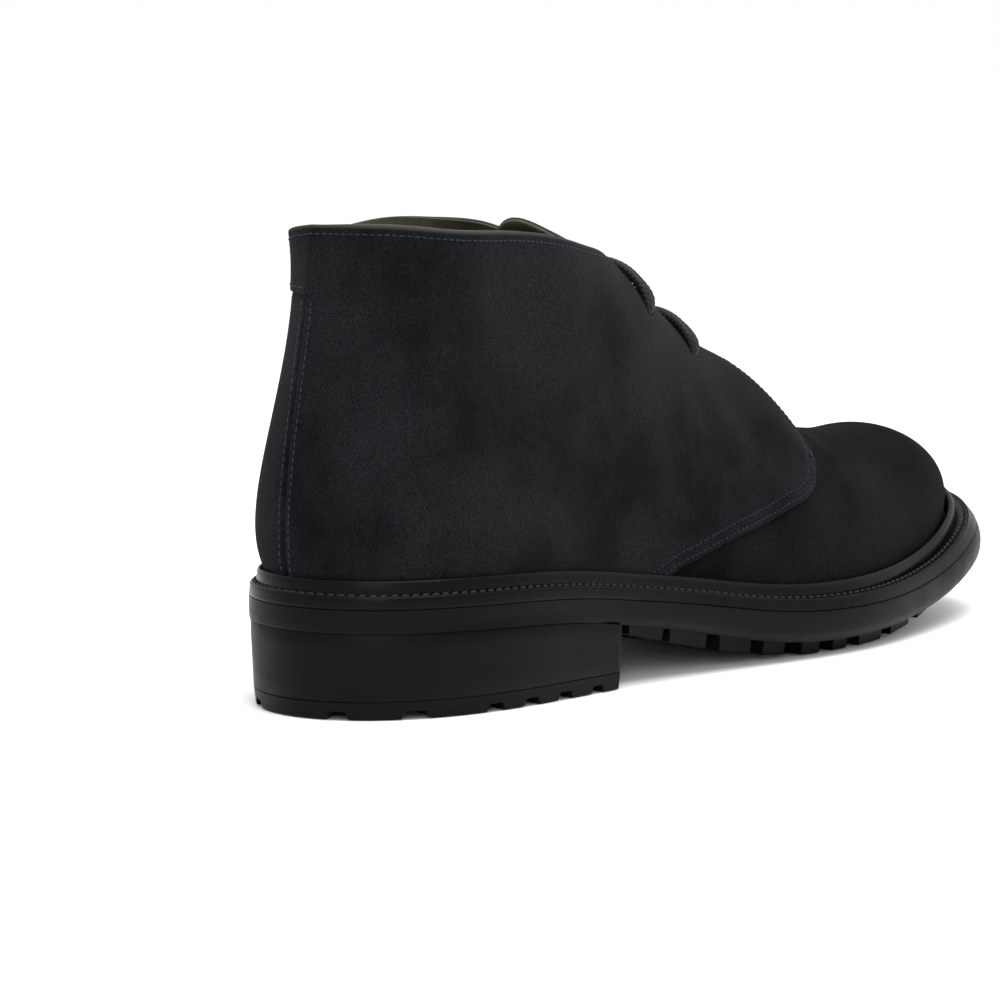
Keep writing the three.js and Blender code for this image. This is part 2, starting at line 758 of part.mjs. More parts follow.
function edgeAt(x, side) {
  // the outline's point at x on one side of the heel
  const half = FINE_EDGE.length / 2;
  const own = side < 0 ? FINE_EDGE.slice(0, half) : FINE_EDGE.slice(half);
  return own.reduce((best, p) => (Math.abs(p.x - x) < Math.abs(best.x - x) ? p : best));
}

function topLift() {
  let lift = block(heelRing(HEEL_TAPER + 0.6, () => 0), heelRing(HEEL_TAPER, () => LIFT_THICK));
  const deep = () => -1;
  for (const notch of LIFT_NOTCHES) {
    for (const side of [-1, 1]) {
      const p = edgeAt(notch.x, side);
      const corner = (along, out) => ({
        x: p.x + p.nx * out - p.ny * along,
        y: p.y + p.ny * out + p.nx * along,
      });
      const corners = [
        corner(-notch.wide / 2, -notch.reach),
        corner(notch.wide / 2, -notch.reach),
        corner(notch.wide / 2 + 1, 5),
        corner(-notch.wide / 2 - 1, 5),
      ];
      lift = lift.subtract(rightHanded(solid(prism(corners, deep, () => NOTCH_HIGH))));
    }
  }
  return geometryOf(lift);
}

function insole() {
  // lies just inside the upper's wall
  const depth = (x) => margin(x) + WALL + 0.9;
  const ring = (extra, lift) => inset(EDGE, (x) => depth(x) + extra).map((p) => {
    return { x: p.x, y: p.y, z: weltTop(p.x) + lift };
  });
  const rings = [ring(0, GAP), ring(0, GAP + INSOLE_THICK - 0.8), ring(0.8, GAP + INSOLE_THICK)];
  return geometryOf(rightHanded(solid(stack(rings))));
}

// ---------------------------------------------------------------- laces
const archOf = {};
for (const name of Object.keys(ARCH[0]).slice(1)) archOf[name] = column(ARCH, name);

function facing(x, side, reach) {
  // a point of the arch at x, at a reach beside the ridge
  const row = { x };
  for (const name in archOf) row[name] = archOf[name](x);
  const handles = archHandles(row, side);
  const [r, z] = bezier(handles, archStop(handles, reach));
  return new THREE.Vector3(x, row.middle + side * r, z);
}

function lacePoint(x, side, reach, above) {
  // the same, raised along the leather's normal
  const beside = Math.max(reach, 1);
  const along = facing(x + 1, side, beside).sub(facing(x - 1, side, beside));
  const across = facing(x, side, beside + 0.5).sub(facing(x, side, beside - 0.5));
  const normal = along.cross(across).normalize();
  return facing(x, side, Math.max(reach, 0.01)).addScaledVector(normal, normal.z > 0 ? above : -above);
}

function strand(x) {
  // from the lateral eyelet over both facings to the medial one
  const edge = archOf.gap(x);
  const reaches = [edge + EYELET_MARGIN, edge + EYELET_MARGIN / 2, edge];
  const half = (side) => reaches.map((reach) => lacePoint(x, side, reach, LACE_CLEAR));
  const points = [...half(-1), lacePoint(x, -1, 0, LACE_CLEAR - LACE_DIP), ...half(1).reverse()];
  const curve = new THREE.CatmullRomCurve3(points, false, "centripetal");
  const shape = new THREE.Shape();
  shape.absarc(0, 0, LACE_DIAMETER / 2, 0, 2 * Math.PI);
  const tube = new THREE.ExtrudeGeometry(shape, {
    steps: 14,
    curveSegments: 4,
    bevelEnabled: false,
    extrudePath: curve,
  });
  return rightHanded(solid(tube));
}

function laceBar(x) {
  // two strands side by side between one pair of eyelets, joined where they touch
  return geometryOf(strand(x - LACE_SPACING / 2).add(strand(x + LACE_SPACING / 2)));
}

// ---------------------------------------------------------------- the boot
const group = new THREE.Group();
function add(name, geometry, color, roughness) {
  const material = new THREE.MeshStandardMaterial({ color, roughness, metalness: 0 });
  const mesh = new THREE.Mesh(geometry, material);
  mesh.name = name;
  group.add(mesh);
}

add("upper", upper(), 0x23262e, 0.95);
add("tongue", tongue(), 0x23262e, 0.95);
add("insole", insole(), 0x6b5d50, 0.8);
add("welt", welt(), 0x121314, 0.5);
add("outsole", outsole(), 0x101112, 0.6);
add("heel", heel(), 0x101112, 0.6);
add("top_lift", topLift(), 0x101112, 0.6);
add("lace_bar_low", laceBar(EYELETS[0]), 0x171513, 0.7);
add("lace_bar_high", laceBar(EYELETS[1]), 0x171513, 0.7);

const box = new THREE.Box3().setFromObject(group);
group.position.set(-(box.min.x + box.max.x) / 2, -(box.min.y + box.max.y) / 2, -box.min.z);

export default group;
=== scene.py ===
"""The chukka boot's looks, built round its CAD frame."""

import math

import bpy
import numpy as np
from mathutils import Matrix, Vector
from mathutils.geometry import tessellate_polygon


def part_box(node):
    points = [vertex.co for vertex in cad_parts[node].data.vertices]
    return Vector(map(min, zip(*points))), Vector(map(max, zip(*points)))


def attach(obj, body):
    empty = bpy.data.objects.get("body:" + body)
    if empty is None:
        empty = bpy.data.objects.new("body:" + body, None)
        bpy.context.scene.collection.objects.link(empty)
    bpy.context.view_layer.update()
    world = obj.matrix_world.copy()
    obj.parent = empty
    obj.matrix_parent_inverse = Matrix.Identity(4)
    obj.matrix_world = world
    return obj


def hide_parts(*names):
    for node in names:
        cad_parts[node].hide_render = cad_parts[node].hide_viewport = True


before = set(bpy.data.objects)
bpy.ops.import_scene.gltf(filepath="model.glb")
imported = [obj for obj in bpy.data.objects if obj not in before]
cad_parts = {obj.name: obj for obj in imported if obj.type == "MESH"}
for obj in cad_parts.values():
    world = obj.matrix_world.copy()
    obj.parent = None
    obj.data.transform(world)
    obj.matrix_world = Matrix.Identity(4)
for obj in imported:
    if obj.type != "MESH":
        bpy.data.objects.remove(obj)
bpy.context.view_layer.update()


# ---------------------------------------------------------------- the boot's own tables, in millimetres
# The boot frame has the back of the heel at x = 0, the toe towards +X, the medial side towards +Y
# and the floor at z = 0. The tables are the ones that the frame was made from.
GAP = 0.35  # between pieces that meet
WELT_THICK = 3.8
WELT_WIDE = 15
BEAD_HIGH = 4
BEAD_SHARE = 0.42  # of the welt's margin
WALL = 2.2  # leather and lining together
HEEL_BREAST = 97
LIFT_THICK = 5
HEEL_TAPER = 0.9
TOE_BULGE = 1.1
TOE_START = 256
TOE_POWER = 1.63
TOE_STEPS = 7
EYELETS = [157, 134]  # from the vamp up
EYELET_MARGIN = 9
LACE_DIAMETER = 3.2
LACE_CLEAR = LACE_DIAMETER / 2 + 0.5  # from the facing to a strand's middle
LACE_DIP = 1.2  # how much lower a bar passes over the ridge line
LACE_SPACING = 2.6  # between the two strands of a bar
TONGUE_THICK = 2
TONGUE_SPACE = 0.8  # between the lining and the tongue
TONGUE_FREE = 118  # behind this the tongue sags
TONGUE_SAG = 0.16
LUG_EDGE = 6.5
LUG_FLAT = 0.25
NOTCH_HIGH = 2.2
SIDES = (-1, 1)  # lateral, medial


def table(names, *rows):
    """Rows of numbers as a list of dicts with the given column names."""
    return [dict(zip(names.split(), row)) for row in rows]


LUGS = table(
    "start end deep",
    (107, 122, 20), (124.5, 140, 27), (145, 158, 22), (163, 172, 28), (179, 187, 22),
    (193, 200, 28), (206, 220, 22), (226, 240, 28), (246, 262, 22), (267, 281, 20),
)
LIFT_NOTCHES = table(
    "x wide reach",
    (4.5, 5, 9), (21.6, 6.8, 14), (46.5, 4.5, 20), (60.1, 4.5, 20), (73.9, 4.5, 20), (87.8, 3.6, 20),
)
# Outer edge of the welt, from the back of the heel along the lateral side to the toe and back.
OUTLINE = table(
    "x y",
    (0, -3.5), (8, -23.4), (32, -38.5), (80, -43.0), (125, -43.5), (165, -47.5), (203, -49.5),
    (240, -42.5), (272, -31.5), (293, -16.5), (302, 4.6), (297, 26.5), (280, 42), (250, 50),
    (215, 51), (180, 44), (145, 34), (105, 30.5), (70, 33), (32, 33), (7, 18),
)
# Along the sole: height of the welt's top face, thickness of welt and outsole together, the margin
# from the welt's edge in to the upper, how far the sidewall swells and tucks in, and the lugs' height.
SOLE = table(
    "x top thick margin swell tuck lug",
    (-10, 35.3, 10.6, 3.7, 0.3, 0, 2.4),
    (0, 35, 10.6, 3.7, 0.3, 0, 2.4),
    (85, 31.6, 10.8, 5.4, 0.3, 0, 2.4),
    (105, 28.8, 11.4, 6, 0.4, 2, 2.4),
    (130, 25, 12.2, 6.6, 0.7, 2.4, 4),
    (165, 19.4, 13.4, 7.2, 0.8, 2.4, 4),
    (204, 17.7, 13.5, 7.6, 0.8, 2.4, 4.2),
    (252, 21.9, 13.6, 8, 1.6, 1.8, 4.2),
    (302, 36, 14.8, 8.4, 4.9, -2, 4),
)
# Quarter sections that fan round the heel and run forward to the collar's front.
COLLAR = table(
    "x turn middle bulge lift sway drop out outer_top inner_top",
    (38, 0, 0, 4.6, 20, 4, 36, 23.5, 136.5, 136.5),
    (38, 30, -1.5, 8.4, 20, -3, 37, 24, 136.8, 135),
    (39, 60, -3, 8.6, 20, -6, 38, 26, 136.4, 132.6),
    (41, 90, -3.3, 5, 22, -4, 36, 28.5, 134.8, 131.6),
    (66, 90, -2.6, 3, 22, -2, 34, 28.8, 133.3, 134.4),
)
# Arched sections across the boot, forward of the ankle.
ARCH = table(
    "x middle outer_bulge inner_bulge lift half ridge gap rise",
    (88, -1.8, 0, 8, 66, 31, 152, 25.8, 2),
    (103, -1.4, 0, 9, 66, 29, 140, 22, 4),
    (113, -1, 0, 9, 63, 28, 132.5, 18, 3.4),
    (121, -0.8, 0, 8, 57, 26, 127, 13.6, 0.8),
    (130, -0.6, 0.5, 7, 48, 24, 121.2, 11, 0),
    (150, 0, 1, 6, 35, 21, 107, 9, 0),
    (172, 0.8, 1.5, 4, 27, 20, 93.9, 7.5, 0),
    (192, 1.6, 2, 3, 22, 23.1, 83.8, 6, 0),
    (208, 2.2, 2, 2.5, 20, 20.5, 70.5, 4, 0),
    (214, 2.6, 2, 2.5, 19, 23.8, 66.7, 0, 0),
    (234, 3.4, 2.2, 2.5, 17, 23.5, 61.2, 0, 0),
    (256, 4.2, 2.4, 2.5, 17.6, 23.4, 60.1, 0, 0),
)


# ---------------------------------------------------------------- curves
def spline(xs, values):
    """Natural cubic spline; values may have any further axes."""
    xs = np.asarray(xs, float)
    values = np.asarray(values, float)
    n = len(xs)
    h = np.diff(xs)
    flat = values.reshape(n, -1)
    system = np.eye(n)
    rhs = np.zeros_like(flat)
    for i in range(1, n - 1):
        system[i, i - 1:i + 2] = h[i - 1], 2 * (h[i - 1] + h[i]), h[i]
        rhs[i] = 6 * ((flat[i + 1] - flat[i]) / h[i] - (flat[i] - flat[i - 1]) / h[i - 1])
    bend = np.linalg.solve(system, rhs)

    def at(x):
        x = np.asarray(x, float)
        i = np.clip(np.searchsorted(xs, x) - 1, 0, n - 2)
        width = h[i]
        a = ((xs[i + 1] - x) / width)[..., None]
        b = ((x - xs[i]) / width)[..., None]
        square = (width * width / 6)[..., None]
        made = a * flat[i] + b * flat[i + 1] + ((a**3 - a) * bend[i] + (b**3 - b) * bend[i + 1]) * square
        return made.reshape(x.shape + values.shape[1:])

    return at


def column(rows, name, key="x"):
    return spline([r[key] for r in rows], [r[name] for r in rows])


def smooth(x, low, high):
    t = np.clip((x - low) / (high - low), 0, 1)
    return t * t * (3 - 2 * t)


def travelled(points):
    """The distance along a line of points to each of them."""
    return np.concatenate([[0], np.cumsum(np.linalg.norm(np.diff(points, axis=0), axis=1))])


def resampled(values, along, at):
    """Rows of values at new places along their line."""
    return np.stack([np.interp(at, along, column) for column in values.T], 1)


welt_top = column(SOLE, "top")
sole_thick = column(SOLE, "thick")
margin = column(SOLE, "margin")
swell = column(SOLE, "swell")
tuck = column(SOLE, "tuck")
lug_high = column(SOLE, "lug")


def sole_bottom(x):
    return welt_top(x) - sole_thick(x)


def outline(steps):
    """Points round the welt's outer edge, and their outward normals."""
    wrap = 3
    loop = np.array([(p["x"], p["y"]) for p in OUTLINE[-wrap:] + OUTLINE + OUTLINE[:wrap + 1]], float)
    along = travelled(loop)
    curve = spline(along, loop)
    start = along[wrap]
    length = along[wrap + len(OUTLINE)] - start
    s = start + length * np.arange(steps) / steps
    tangent = curve(s + 0.1) - curve(s - 0.1)
    tangent /= np.linalg.norm(tangent, axis=1)[:, None]
    points = curve(s)
    normal = np.stack([tangent[:, 1], -tangent[:, 0]], 1)
    if (points * normal).sum() < 0:
        normal = -normal
    return points, normal


def inset(edge, by):
    points, normal = edge
    depth = by(points[:, 0]) if callable(by) else by
    return points - normal * np.reshape(depth, (-1, 1))


def hit(loop, ox, oy, dx, dy):
    """Distance from a point inside a loop to its edge, along a direction."""
    a = loop
    e = np.roll(loop, -1, axis=0) - a
    det = dx * -e[:, 1] + dy * e[:, 0]
    det[abs(det) < 1e-12] = np.inf
    r = ((a[:, 0] - ox) * -e[:, 1] + (a[:, 1] - oy) * e[:, 0]) / det
    s = (dx * (a[:, 1] - oy) - dy * (a[:, 0] - ox)) / det
    return r[(r > 0) & (s >= 0) & (s <= 1)].min()


def bezier(handles, t):
    t = np.asarray(t, float)[..., None]
    p = np.asarray(handles, float)
    u = 1 - t
    return u**3 * p[0] + 3 * u * u * t * p[1] + 3 * u * t * t * p[2] + t**3 * p[3]


# ---------------------------------------------------------------- the upper's surface
EDGE = outline(600)
FEATHER = inset(EDGE, margin)
FEATHER_FINE = inset(outline(6000), margin)
TIP = FEATHER[FEATHER[:, 0].argmax()]
REFERENCE = 4 / 13  # the height on each section that spaces the sections
SEAT = 7 / 13  # how far up the wall a section's shift onto the feather fades out


def foot_at(x):
    return welt_top(x) + GAP


def base_at(x):
    return foot_at(x) + BEAD_HIGH


def collar_profile(row, side, t):
    turn = math.radians(row["turn"])
    dx, dy = -math.cos(turn), side * math.sin(turn)
    reach = hit(FEATHER, row["x"], row["middle"], dx, dy)
    base = float(base_at(row["x"] + dx * reach))
    top = row["outer_top"] if side < 0 else row["inner_top"]
    handles = [
        (reach, base),
        (reach + row["bulge"], base + row["lift"]),
        (row["out"] + row["sway"], top - row["drop"]),
        (row["out"], top),
    ]
    r, z = bezier(handles, t).T
    r = np.concatenate([[reach], r])
    z = np.concatenate([[base - BEAD_HIGH], z])
    return np.stack([row["x"] + dx * r, row["middle"] + dy * r, z], 1)


def arch_handles(row, side):
    reach = hit(FEATHER, row["x"], row["middle"], 0, side)
    base = float(base_at(row["x"]))
    bulge = row["outer_bulge"] if side < 0 else row["inner_bulge"]
    return [
        (reach, base),
        (reach + bulge, base + row["lift"]),
        (row["half"], row["ridge"]),
        (0, row["ridge"]),
    ]


def arch_stop(handles, gap):
    """The curve parameter at which the arch comes within gap of the ridge."""
    if gap <= 0:
        return 1.0
    low, high = 0.3, 1.0
    for _ in range(30):
        middle = (low + high) / 2
        if bezier(handles, middle)[0] > gap:
            low = middle
        else:
            high = middle
    return low


def arch_profile(row, side, t):
    handles = arch_handles(row, side)
    gap = row["gap"] if side < 0 else row["gap"] - row["rise"]
    r, z = bezier(handles, arch_stop(handles, gap) * t).T
    reach, base = handles[0]
    bow = smooth(row["x"], 250, TIP[0]) * TOE_BULGE
    forward = bow * np.sin(np.pi * np.minimum(1, (z - base) / 30))
    x = np.concatenate([[row["x"]], row["x"] + forward])
    r = np.concatenate([[reach], r])
    z = np.concatenate([[base - BEAD_HIGH], z])
    return np.stack([x, row["middle"] + side * r, z], 1)


def toe_rows():
    """Forward of the last arch the ridge drops to the toe's tip as a superellipse."""
    last = ARCH[-1]
    rows = []
    for i in range(1, TOE_STEPS + 1):
        share = math.sin(math.pi / 2 * i / TOE_STEPS)
        x = TOE_START + (TIP[0] - TOE_START) * share
        keep = max(0, 1 - share**TOE_POWER) ** (1 / TOE_POWER)
        high = (last["ridge"] - base_at(last["x"])) * keep
        row = {name: last[name] * keep for name in ("outer_bulge", "inner_bulge", "lift", "half")}
        row["x"] = min(x, TIP[0] - 0.02)
        row["middle"] = last["middle"] + (TIP[1] - last["middle"]) * share
        row["ridge"] = float(base_at(x) + high)
        row["gap"] = row["rise"] = 0
        rows.append(row)
    return rows


def stations(side, t, closed=False):
    arches = [dict(row, gap=0, rise=0) for row in ARCH] if closed else ARCH
    rows = [collar_profile(row, side, t) for row in COLLAR]
    rows += [arch_profile(row, side, t) for row in arches + toe_rows()]
    tip = np.tile([TIP[0], TIP[1], float(base_at(TIP[0]))], (len(t) + 1, 1))
    tip[0, 2] = foot_at(TIP[0])
    rows[-1] = tip
    return np.array(rows)


def wall_grid(side, t, parts, closed=False):
    """The upper's outer face on one side as columns from the back seam to the toe's tip."""
    made = stations(side, t, closed)
    marks = stations(side, np.array([REFERENCE]))[:, 1]
    along = np.concatenate([[0], np.cumsum(np.linalg.norm(np.diff(marks, axis=0), axis=1) + 1)])
    s = np.concatenate([np.linspace(a, b, parts, endpoint=False) for a, b in zip(along, along[1:])])
    s = np.append(s, along[-1])
    grid = spline(along, made)(s)
    foot = grid[:-1, 0, :2]
    near = np.array([FEATHER_FINE[((FEATHER_FINE - f) ** 2).sum(1).argmin()] for f in foot])
    shift = near - foot
    keep = np.concatenate([[1], np.maximum(0, 1 - t / SEAT)])
    grid[:-1, :, :2] += shift[:, None] * keep[None, :, None]
    grid[:-1, 0, 2] = foot_at(near[:, 0])
    grid[:-1, 1, 2] = base_at(near[:, 0])
    return grid


CLOSED_FROM = len(COLLAR) + [row["gap"] for row in ARCH].index(0)


# ---------------------------------------------------------------- sheets that can be cut along a field
def distance(points, line):
    """Distance from each point to a polyline."""
    best = np.full(len(points), np.inf)
    for a, b in zip(line[:-1], line[1:]):
        e = b - a
        w = np.clip((points - a) @ e / max(e @ e, 1e-12), 0, 1)
        best = np.minimum(best, ((points - a - w[:, None] * e) ** 2).sum(1))
    return np.sqrt(best)


def vertex_normals(points, triangles):
    corners = points[triangles]
    face = np.cross(corners[:, 1] - corners[:, 0], corners[:, 2] - corners[:, 0])
    normals = np.zeros_like(points)
    for k in range(3):
        np.add.at(normals, triangles[:, k], face)
    return normals / np.maximum(np.linalg.norm(normals, axis=1), 1e-12)[:, None]


class Sheet:
    """Triangles with a column of data per vertex: x y z, normal, and named fields."""

    def __init__(self, points, normals, triangles, fields):
        self.names = list(fields)
        self.data = np.column_stack([points, normals] + [fields[n] for n in self.names])
        self.triangles = triangles

    def field(self, name):
        return self.data[:, 6 + self.names.index(name)]

    @property
    def points(self):
        return self.data[:, :3]

    @property
    def normals(self):
        return self.data[:, 3:6]

    def split(self, name, value):
        """Adds vertices where the field passes the value, so that an edge line follows it."""
        f = self.field(name) - value
        f[abs(f) < 0.02] = 0
        sign = np.sign(f)[self.triangles]
        crossed = (sign.min(1) < 0) & (sign.max(1) > 0)
        cut = self.triangles[crossed]
        edges = np.concatenate([cut[:, [0, 1]], cut[:, [1, 2]], cut[:, [2, 0]]])
        edges = np.unique(np.sort(edges[f[edges[:, 0]] * f[edges[:, 1]] < 0], axis=1), axis=0)
        w = (f[edges[:, 0]] / (f[edges[:, 0]] - f[edges[:, 1]]))[:, None]
        fresh = self.data[edges[:, 0]] * (1 - w) + self.data[edges[:, 1]] * w
        place = {tuple(e): len(self.data) + k for k, e in enumerate(edges.tolist())}
        made = []
        for a, b, c in cut.tolist():
            signs = [np.sign(f[v]) for v in (a, b, c)]
            alone = signs.index(0) if 0 in signs else [signs.count(s) for s in signs].index(1)
            a, b, c = ((a, b, c) * 2)[alone:alone + 3]
            if 0 in signs:
                m = place[min(b, c), max(b, c)]
                made += [(a, b, m), (a, m, c)]
            else:
                m, n = place[min(a, b), max(a, b)], place[min(a, c), max(a, c)]
                made += [(a, m, n), (m, b, c), (m, c, n)]
        self.data = np.concatenate([self.data, fresh])
        kept = self.triangles[~crossed]
        self.triangles = np.concatenate([kept, np.array(made, int).reshape(-1, 3)])

    def isoline(self, name, value, wanted):
        """Ordered lines of data rows where the field has the value and wanted(rows) holds."""
        f = self.field(name) - value
        f = np.where(f == 0, 1e-6, f)
        low, high = f[self.triangles].min(1), f[self.triangles].max(1)
        links = {}
        for tri in self.triangles[(low < 0) & (high > 0)].tolist():
            keys = [tuple(sorted(e)) for e in zip(tri, tri[1:] + tri[:1]) if f[e[0]] * f[e[1]] < 0]
            for a, b in (keys, keys[::-1]):
                links.setdefault(a, []).append(b)
        lines = []
        while links:
            ends = [k for k, v in links.items() if len(v) == 1]
            key = ends[0] if ends else next(iter(links))
            line = []
            while key is not None:
                line.append(key)
                following = [k for k in links.pop(key) if k in links]
                key = following[0] if following else None
            rows = np.array([
                self.data[a] + (self.data[b] - self.data[a]) * (f[a] / (f[a] - f[b])) for a, b in line
            ])
            lines += [run for run in runs(rows, wanted(rows)) if len(run) > 4]
        return lines

    def value(self, rows, name):
        return rows[:, 6 + self.names.index(name)]


def runs(rows, keep):
    """The stretches of rows where keep holds."""
    marks = np.flatnonzero(np.diff(np.concatenate([[0], keep.astype(int), [0]])))
    return [rows[a:b] for a, b in zip(marks[::2], marks[1::2])]


# ---------------------------------------------------------------- Blender objects
UNIT = 0.001


def piece(name, points, faces, material, smooth_faces=True):
    """A mesh in the row frame from points in the boot frame, in millimetres."""
    mesh = bpy.data.meshes.new(name)
    mesh.from_pydata(((np.asarray(points) + SHIFT) * UNIT).tolist(), [], [tuple(f) for f in faces])
    mesh.polygons.foreach_set("use_smooth", [smooth_faces] * len(mesh.polygons))
    mesh.materials.append(material)
    mesh.update()
    obj = bpy.data.objects.new(name, mesh)
    bpy.context.scene.collection.objects.link(obj)
    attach(obj, "root")
    return obj


def colour_by(obj, name, values):
    """Stores one number per vertex for a material to read."""
    attribute = obj.data.attributes.new(name, "FLOAT", "POINT")
    attribute.data.foreach_set("value", np.asarray(values, np.float32))


def panel(name, sheet, keep, top, bottom, rim, material, rounding=0.5, worn=None):
    """A closed piece of leather: the kept triangles raised to top and bottom along their normals."""
    worn = rim if worn is None else worn
    triangles = sheet.triangles[keep]
    used, flat = np.unique(triangles, return_inverse=True)
    triangles = flat.reshape(-1, 3)
    points, normals = sheet.points[used], sheet.normals[used]
    share = np.clip(rim[used] / max(rounding, 0.01), 0, 1)
    rolled = rounding * (1 - np.sqrt(1 - (1 - share) ** 2))
    high = points + normals * (top[used] - rolled)[:, None]
    low = points + normals * bottom[used][:, None]
    count = len(used)
    edges = {}
    for a, b, c in triangles.tolist():
        for e in ((a, b), (b, c), (c, a)):
            if (e[1], e[0]) in edges:
                del edges[e[1], e[0]]
            else:
                edges[e] = True
    walls = [f for a, b in edges for f in ((b, a, a + count), (b, a + count, b + count))]
    under = triangles[:, ::-1] + count
    faces = np.concatenate([triangles, under, np.array(walls, int).reshape(-1, 3)])
    obj = piece(name, np.concatenate([high, low]), faces.tolist(), material)
    colour_by(obj, "rim", np.concatenate([worn[used], worn[used] * 0]))
    return obj


def sharp(obj, degrees):
    obj.data.set_sharp_from_angle(angle=math.radians(degrees))


def add_to(points, faces, made, quads):
    """Appends a mesh's points and faces to the lists of those before it."""
    faces += [tuple(v + len(points) for v in f) for f in quads]
    points += np.asarray(made).tolist()


def turned(faces):
    """The same faces seen from their other side."""
    return [tuple(reversed(f)) for f in faces]


def ring_band(count, n, closed=False):
    """Faces through count rings of n points each; closed joins the last ring to the first."""
    faces = []
    for k in range(count if closed else count - 1):
        for i in range(n):
            j, m = (i + 1) % n, (k + 1) % count
            faces.append((k * n + i, k * n + j, m * n + j, m * n + i))
    return faces


def bar_faces(count, n):
    """Faces of a closed bar through count rings of n points."""
    ends = [tuple(range(n)), tuple(reversed(range((count - 1) * n, count * n)))]
    return turned(ring_band(count, n)) + ends


def tube(line, radius, around, profile=None):
    """Points and faces of a round tube along a line; profile(angle, along) scales the radius."""
    step = np.gradient(line, axis=0)
    step /= np.linalg.norm(step, axis=1)[:, None]
    side = np.cross(step[0], [0, 0, 1.0])
    frames = []
    for t in step:
        side = side - t * (side @ t)
        side /= np.linalg.norm(side)
        frames.append((side, np.cross(t, side)))
    angle = 2 * np.pi * np.arange(around) / around
    rings = []
    for p, (u, v), s in zip(line, frames, travelled(line)):
        r = radius * (profile(angle, s) if profile else np.ones(around))
        rings.append(p + (r * np.cos(angle))[:, None] * u + (r * np.sin(angle))[:, None] * v)
    return np.concatenate(rings), bar_faces(len(line), around)


def smooth_line(points, step):
    """Points every step millimetres along a spline through the given ones."""
    points = np.asarray(points, float)
    along = travelled(points)
    fine = spline(along, points)(np.linspace(0, along[-1], 400))
    length = travelled(fine)
    return resampled(fine, length, np.linspace(0, length[-1], max(3, int(length[-1] / step))))


# One stitch: a lozenge of five rings, in units of half its length and of its radius.
STITCH_RINGS = table("at size", (-1, 0.25), (-0.7, 0.8), (0, 1), (0.7, 0.8), (1, 0.25))
STITCH_SIDES = 6


def stitches(lines, pitch, length, radius, tilt=0.0):
    """Points and faces of stitches spaced along lines of (point, normal)."""
    angle = 2 * np.pi * np.arange(STITCH_SIDES) / STITCH_SIDES
    form = np.array([
        (ring["at"] * length / 2, radius * ring["size"] * math.cos(a), radius * ring["size"] * math.sin(a))
        for ring in STITCH_RINGS for a in angle
    ])
    single = bar_faces(len(STITCH_RINGS), STITCH_SIDES)
    points, faces = [], []
    for rows in lines:
        along = travelled(rows[:, :3])
        marks = np.arange(pitch / 2, along[-1], pitch)
        at, ahead, behind = (resampled(rows[:, :3], along, marks + by) for by in (0, 0.3, -0.3))
        up = resampled(rows[:, 3:6], along, marks)
        run = ahead - behind
        run /= np.linalg.norm(run, axis=1)[:, None]
        beside = np.cross(up, run)
        beside /= np.linalg.norm(beside, axis=1)[:, None]
        run = run + tilt * beside
        up = np.cross(run, beside)
        up /= np.linalg.norm(up, axis=1)[:, None]
        for p, t, b, u in zip(at, run, beside, up):
            add_to(points, faces, p + form @ np.array([t, b, u]), single)
    return points, faces


# ---------------------------------------------------------------- the frame's place
frame_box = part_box("outsole")
widest = inset(outline(84), lambda x: -swell(x))
SHIFT = np.array([
    frame_box[0][0] / UNIT - widest[:, 0].min(),
    frame_box[0][1] / UNIT - widest[:, 1].min(),
    frame_box[0][2] / UNIT,
])


# ---------------------------------------------------------------- camera
def place(x, y, z):
    """A point of the boot frame in the row frame, in metres."""
    return Vector((x + SHIFT[0], y + SHIFT[1], z + SHIFT[2])) * UNIT


CAMERA = {"azimuth": 46.82, "elevation": 7.41, "distance": 1340.6, "lens": 165.0, "sensor": 36.0}
LOOK_AT = (90.85, 0, 51.95)


def add_camera():
    azimuth, elevation = math.radians(CAMERA["azimuth"]), math.radians(CAMERA["elevation"])
    look = Vector((
        math.sin(azimuth) * math.cos(elevation),
        math.cos(azimuth) * math.cos(elevation),
        -math.sin(elevation),
    ))
    data = bpy.data.cameras.new("camera")
    data.lens = CAMERA["lens"]
    data.sensor_width = CAMERA["sensor"]
    camera = bpy.data.objects.new("camera", data)
    camera.location = place(*LOOK_AT) - look * CAMERA["distance"] * UNIT
    camera.rotation_euler = look.to_track_quat("-Z", "Y").to_euler()
    bpy.context.scene.collection.objects.link(camera)
    bpy.context.scene.camera = camera


add_camera()


# ---------------------------------------------------------------- materials
def shader(name, base, rough, **sockets):
    """A principled material; returns it with its node tree's handle."""
    material = bpy.data.materials.new(name)
    material.use_nodes = True
    node = material.node_tree.nodes["Principled BSDF"]
    node.inputs["Base Color"].default_value = (*base, 1)
    node.inputs["Roughness"].default_value = rough
    for socket, value in sockets.items():
        node.inputs[socket.replace("_", " ")].default_value = value
    return material, node


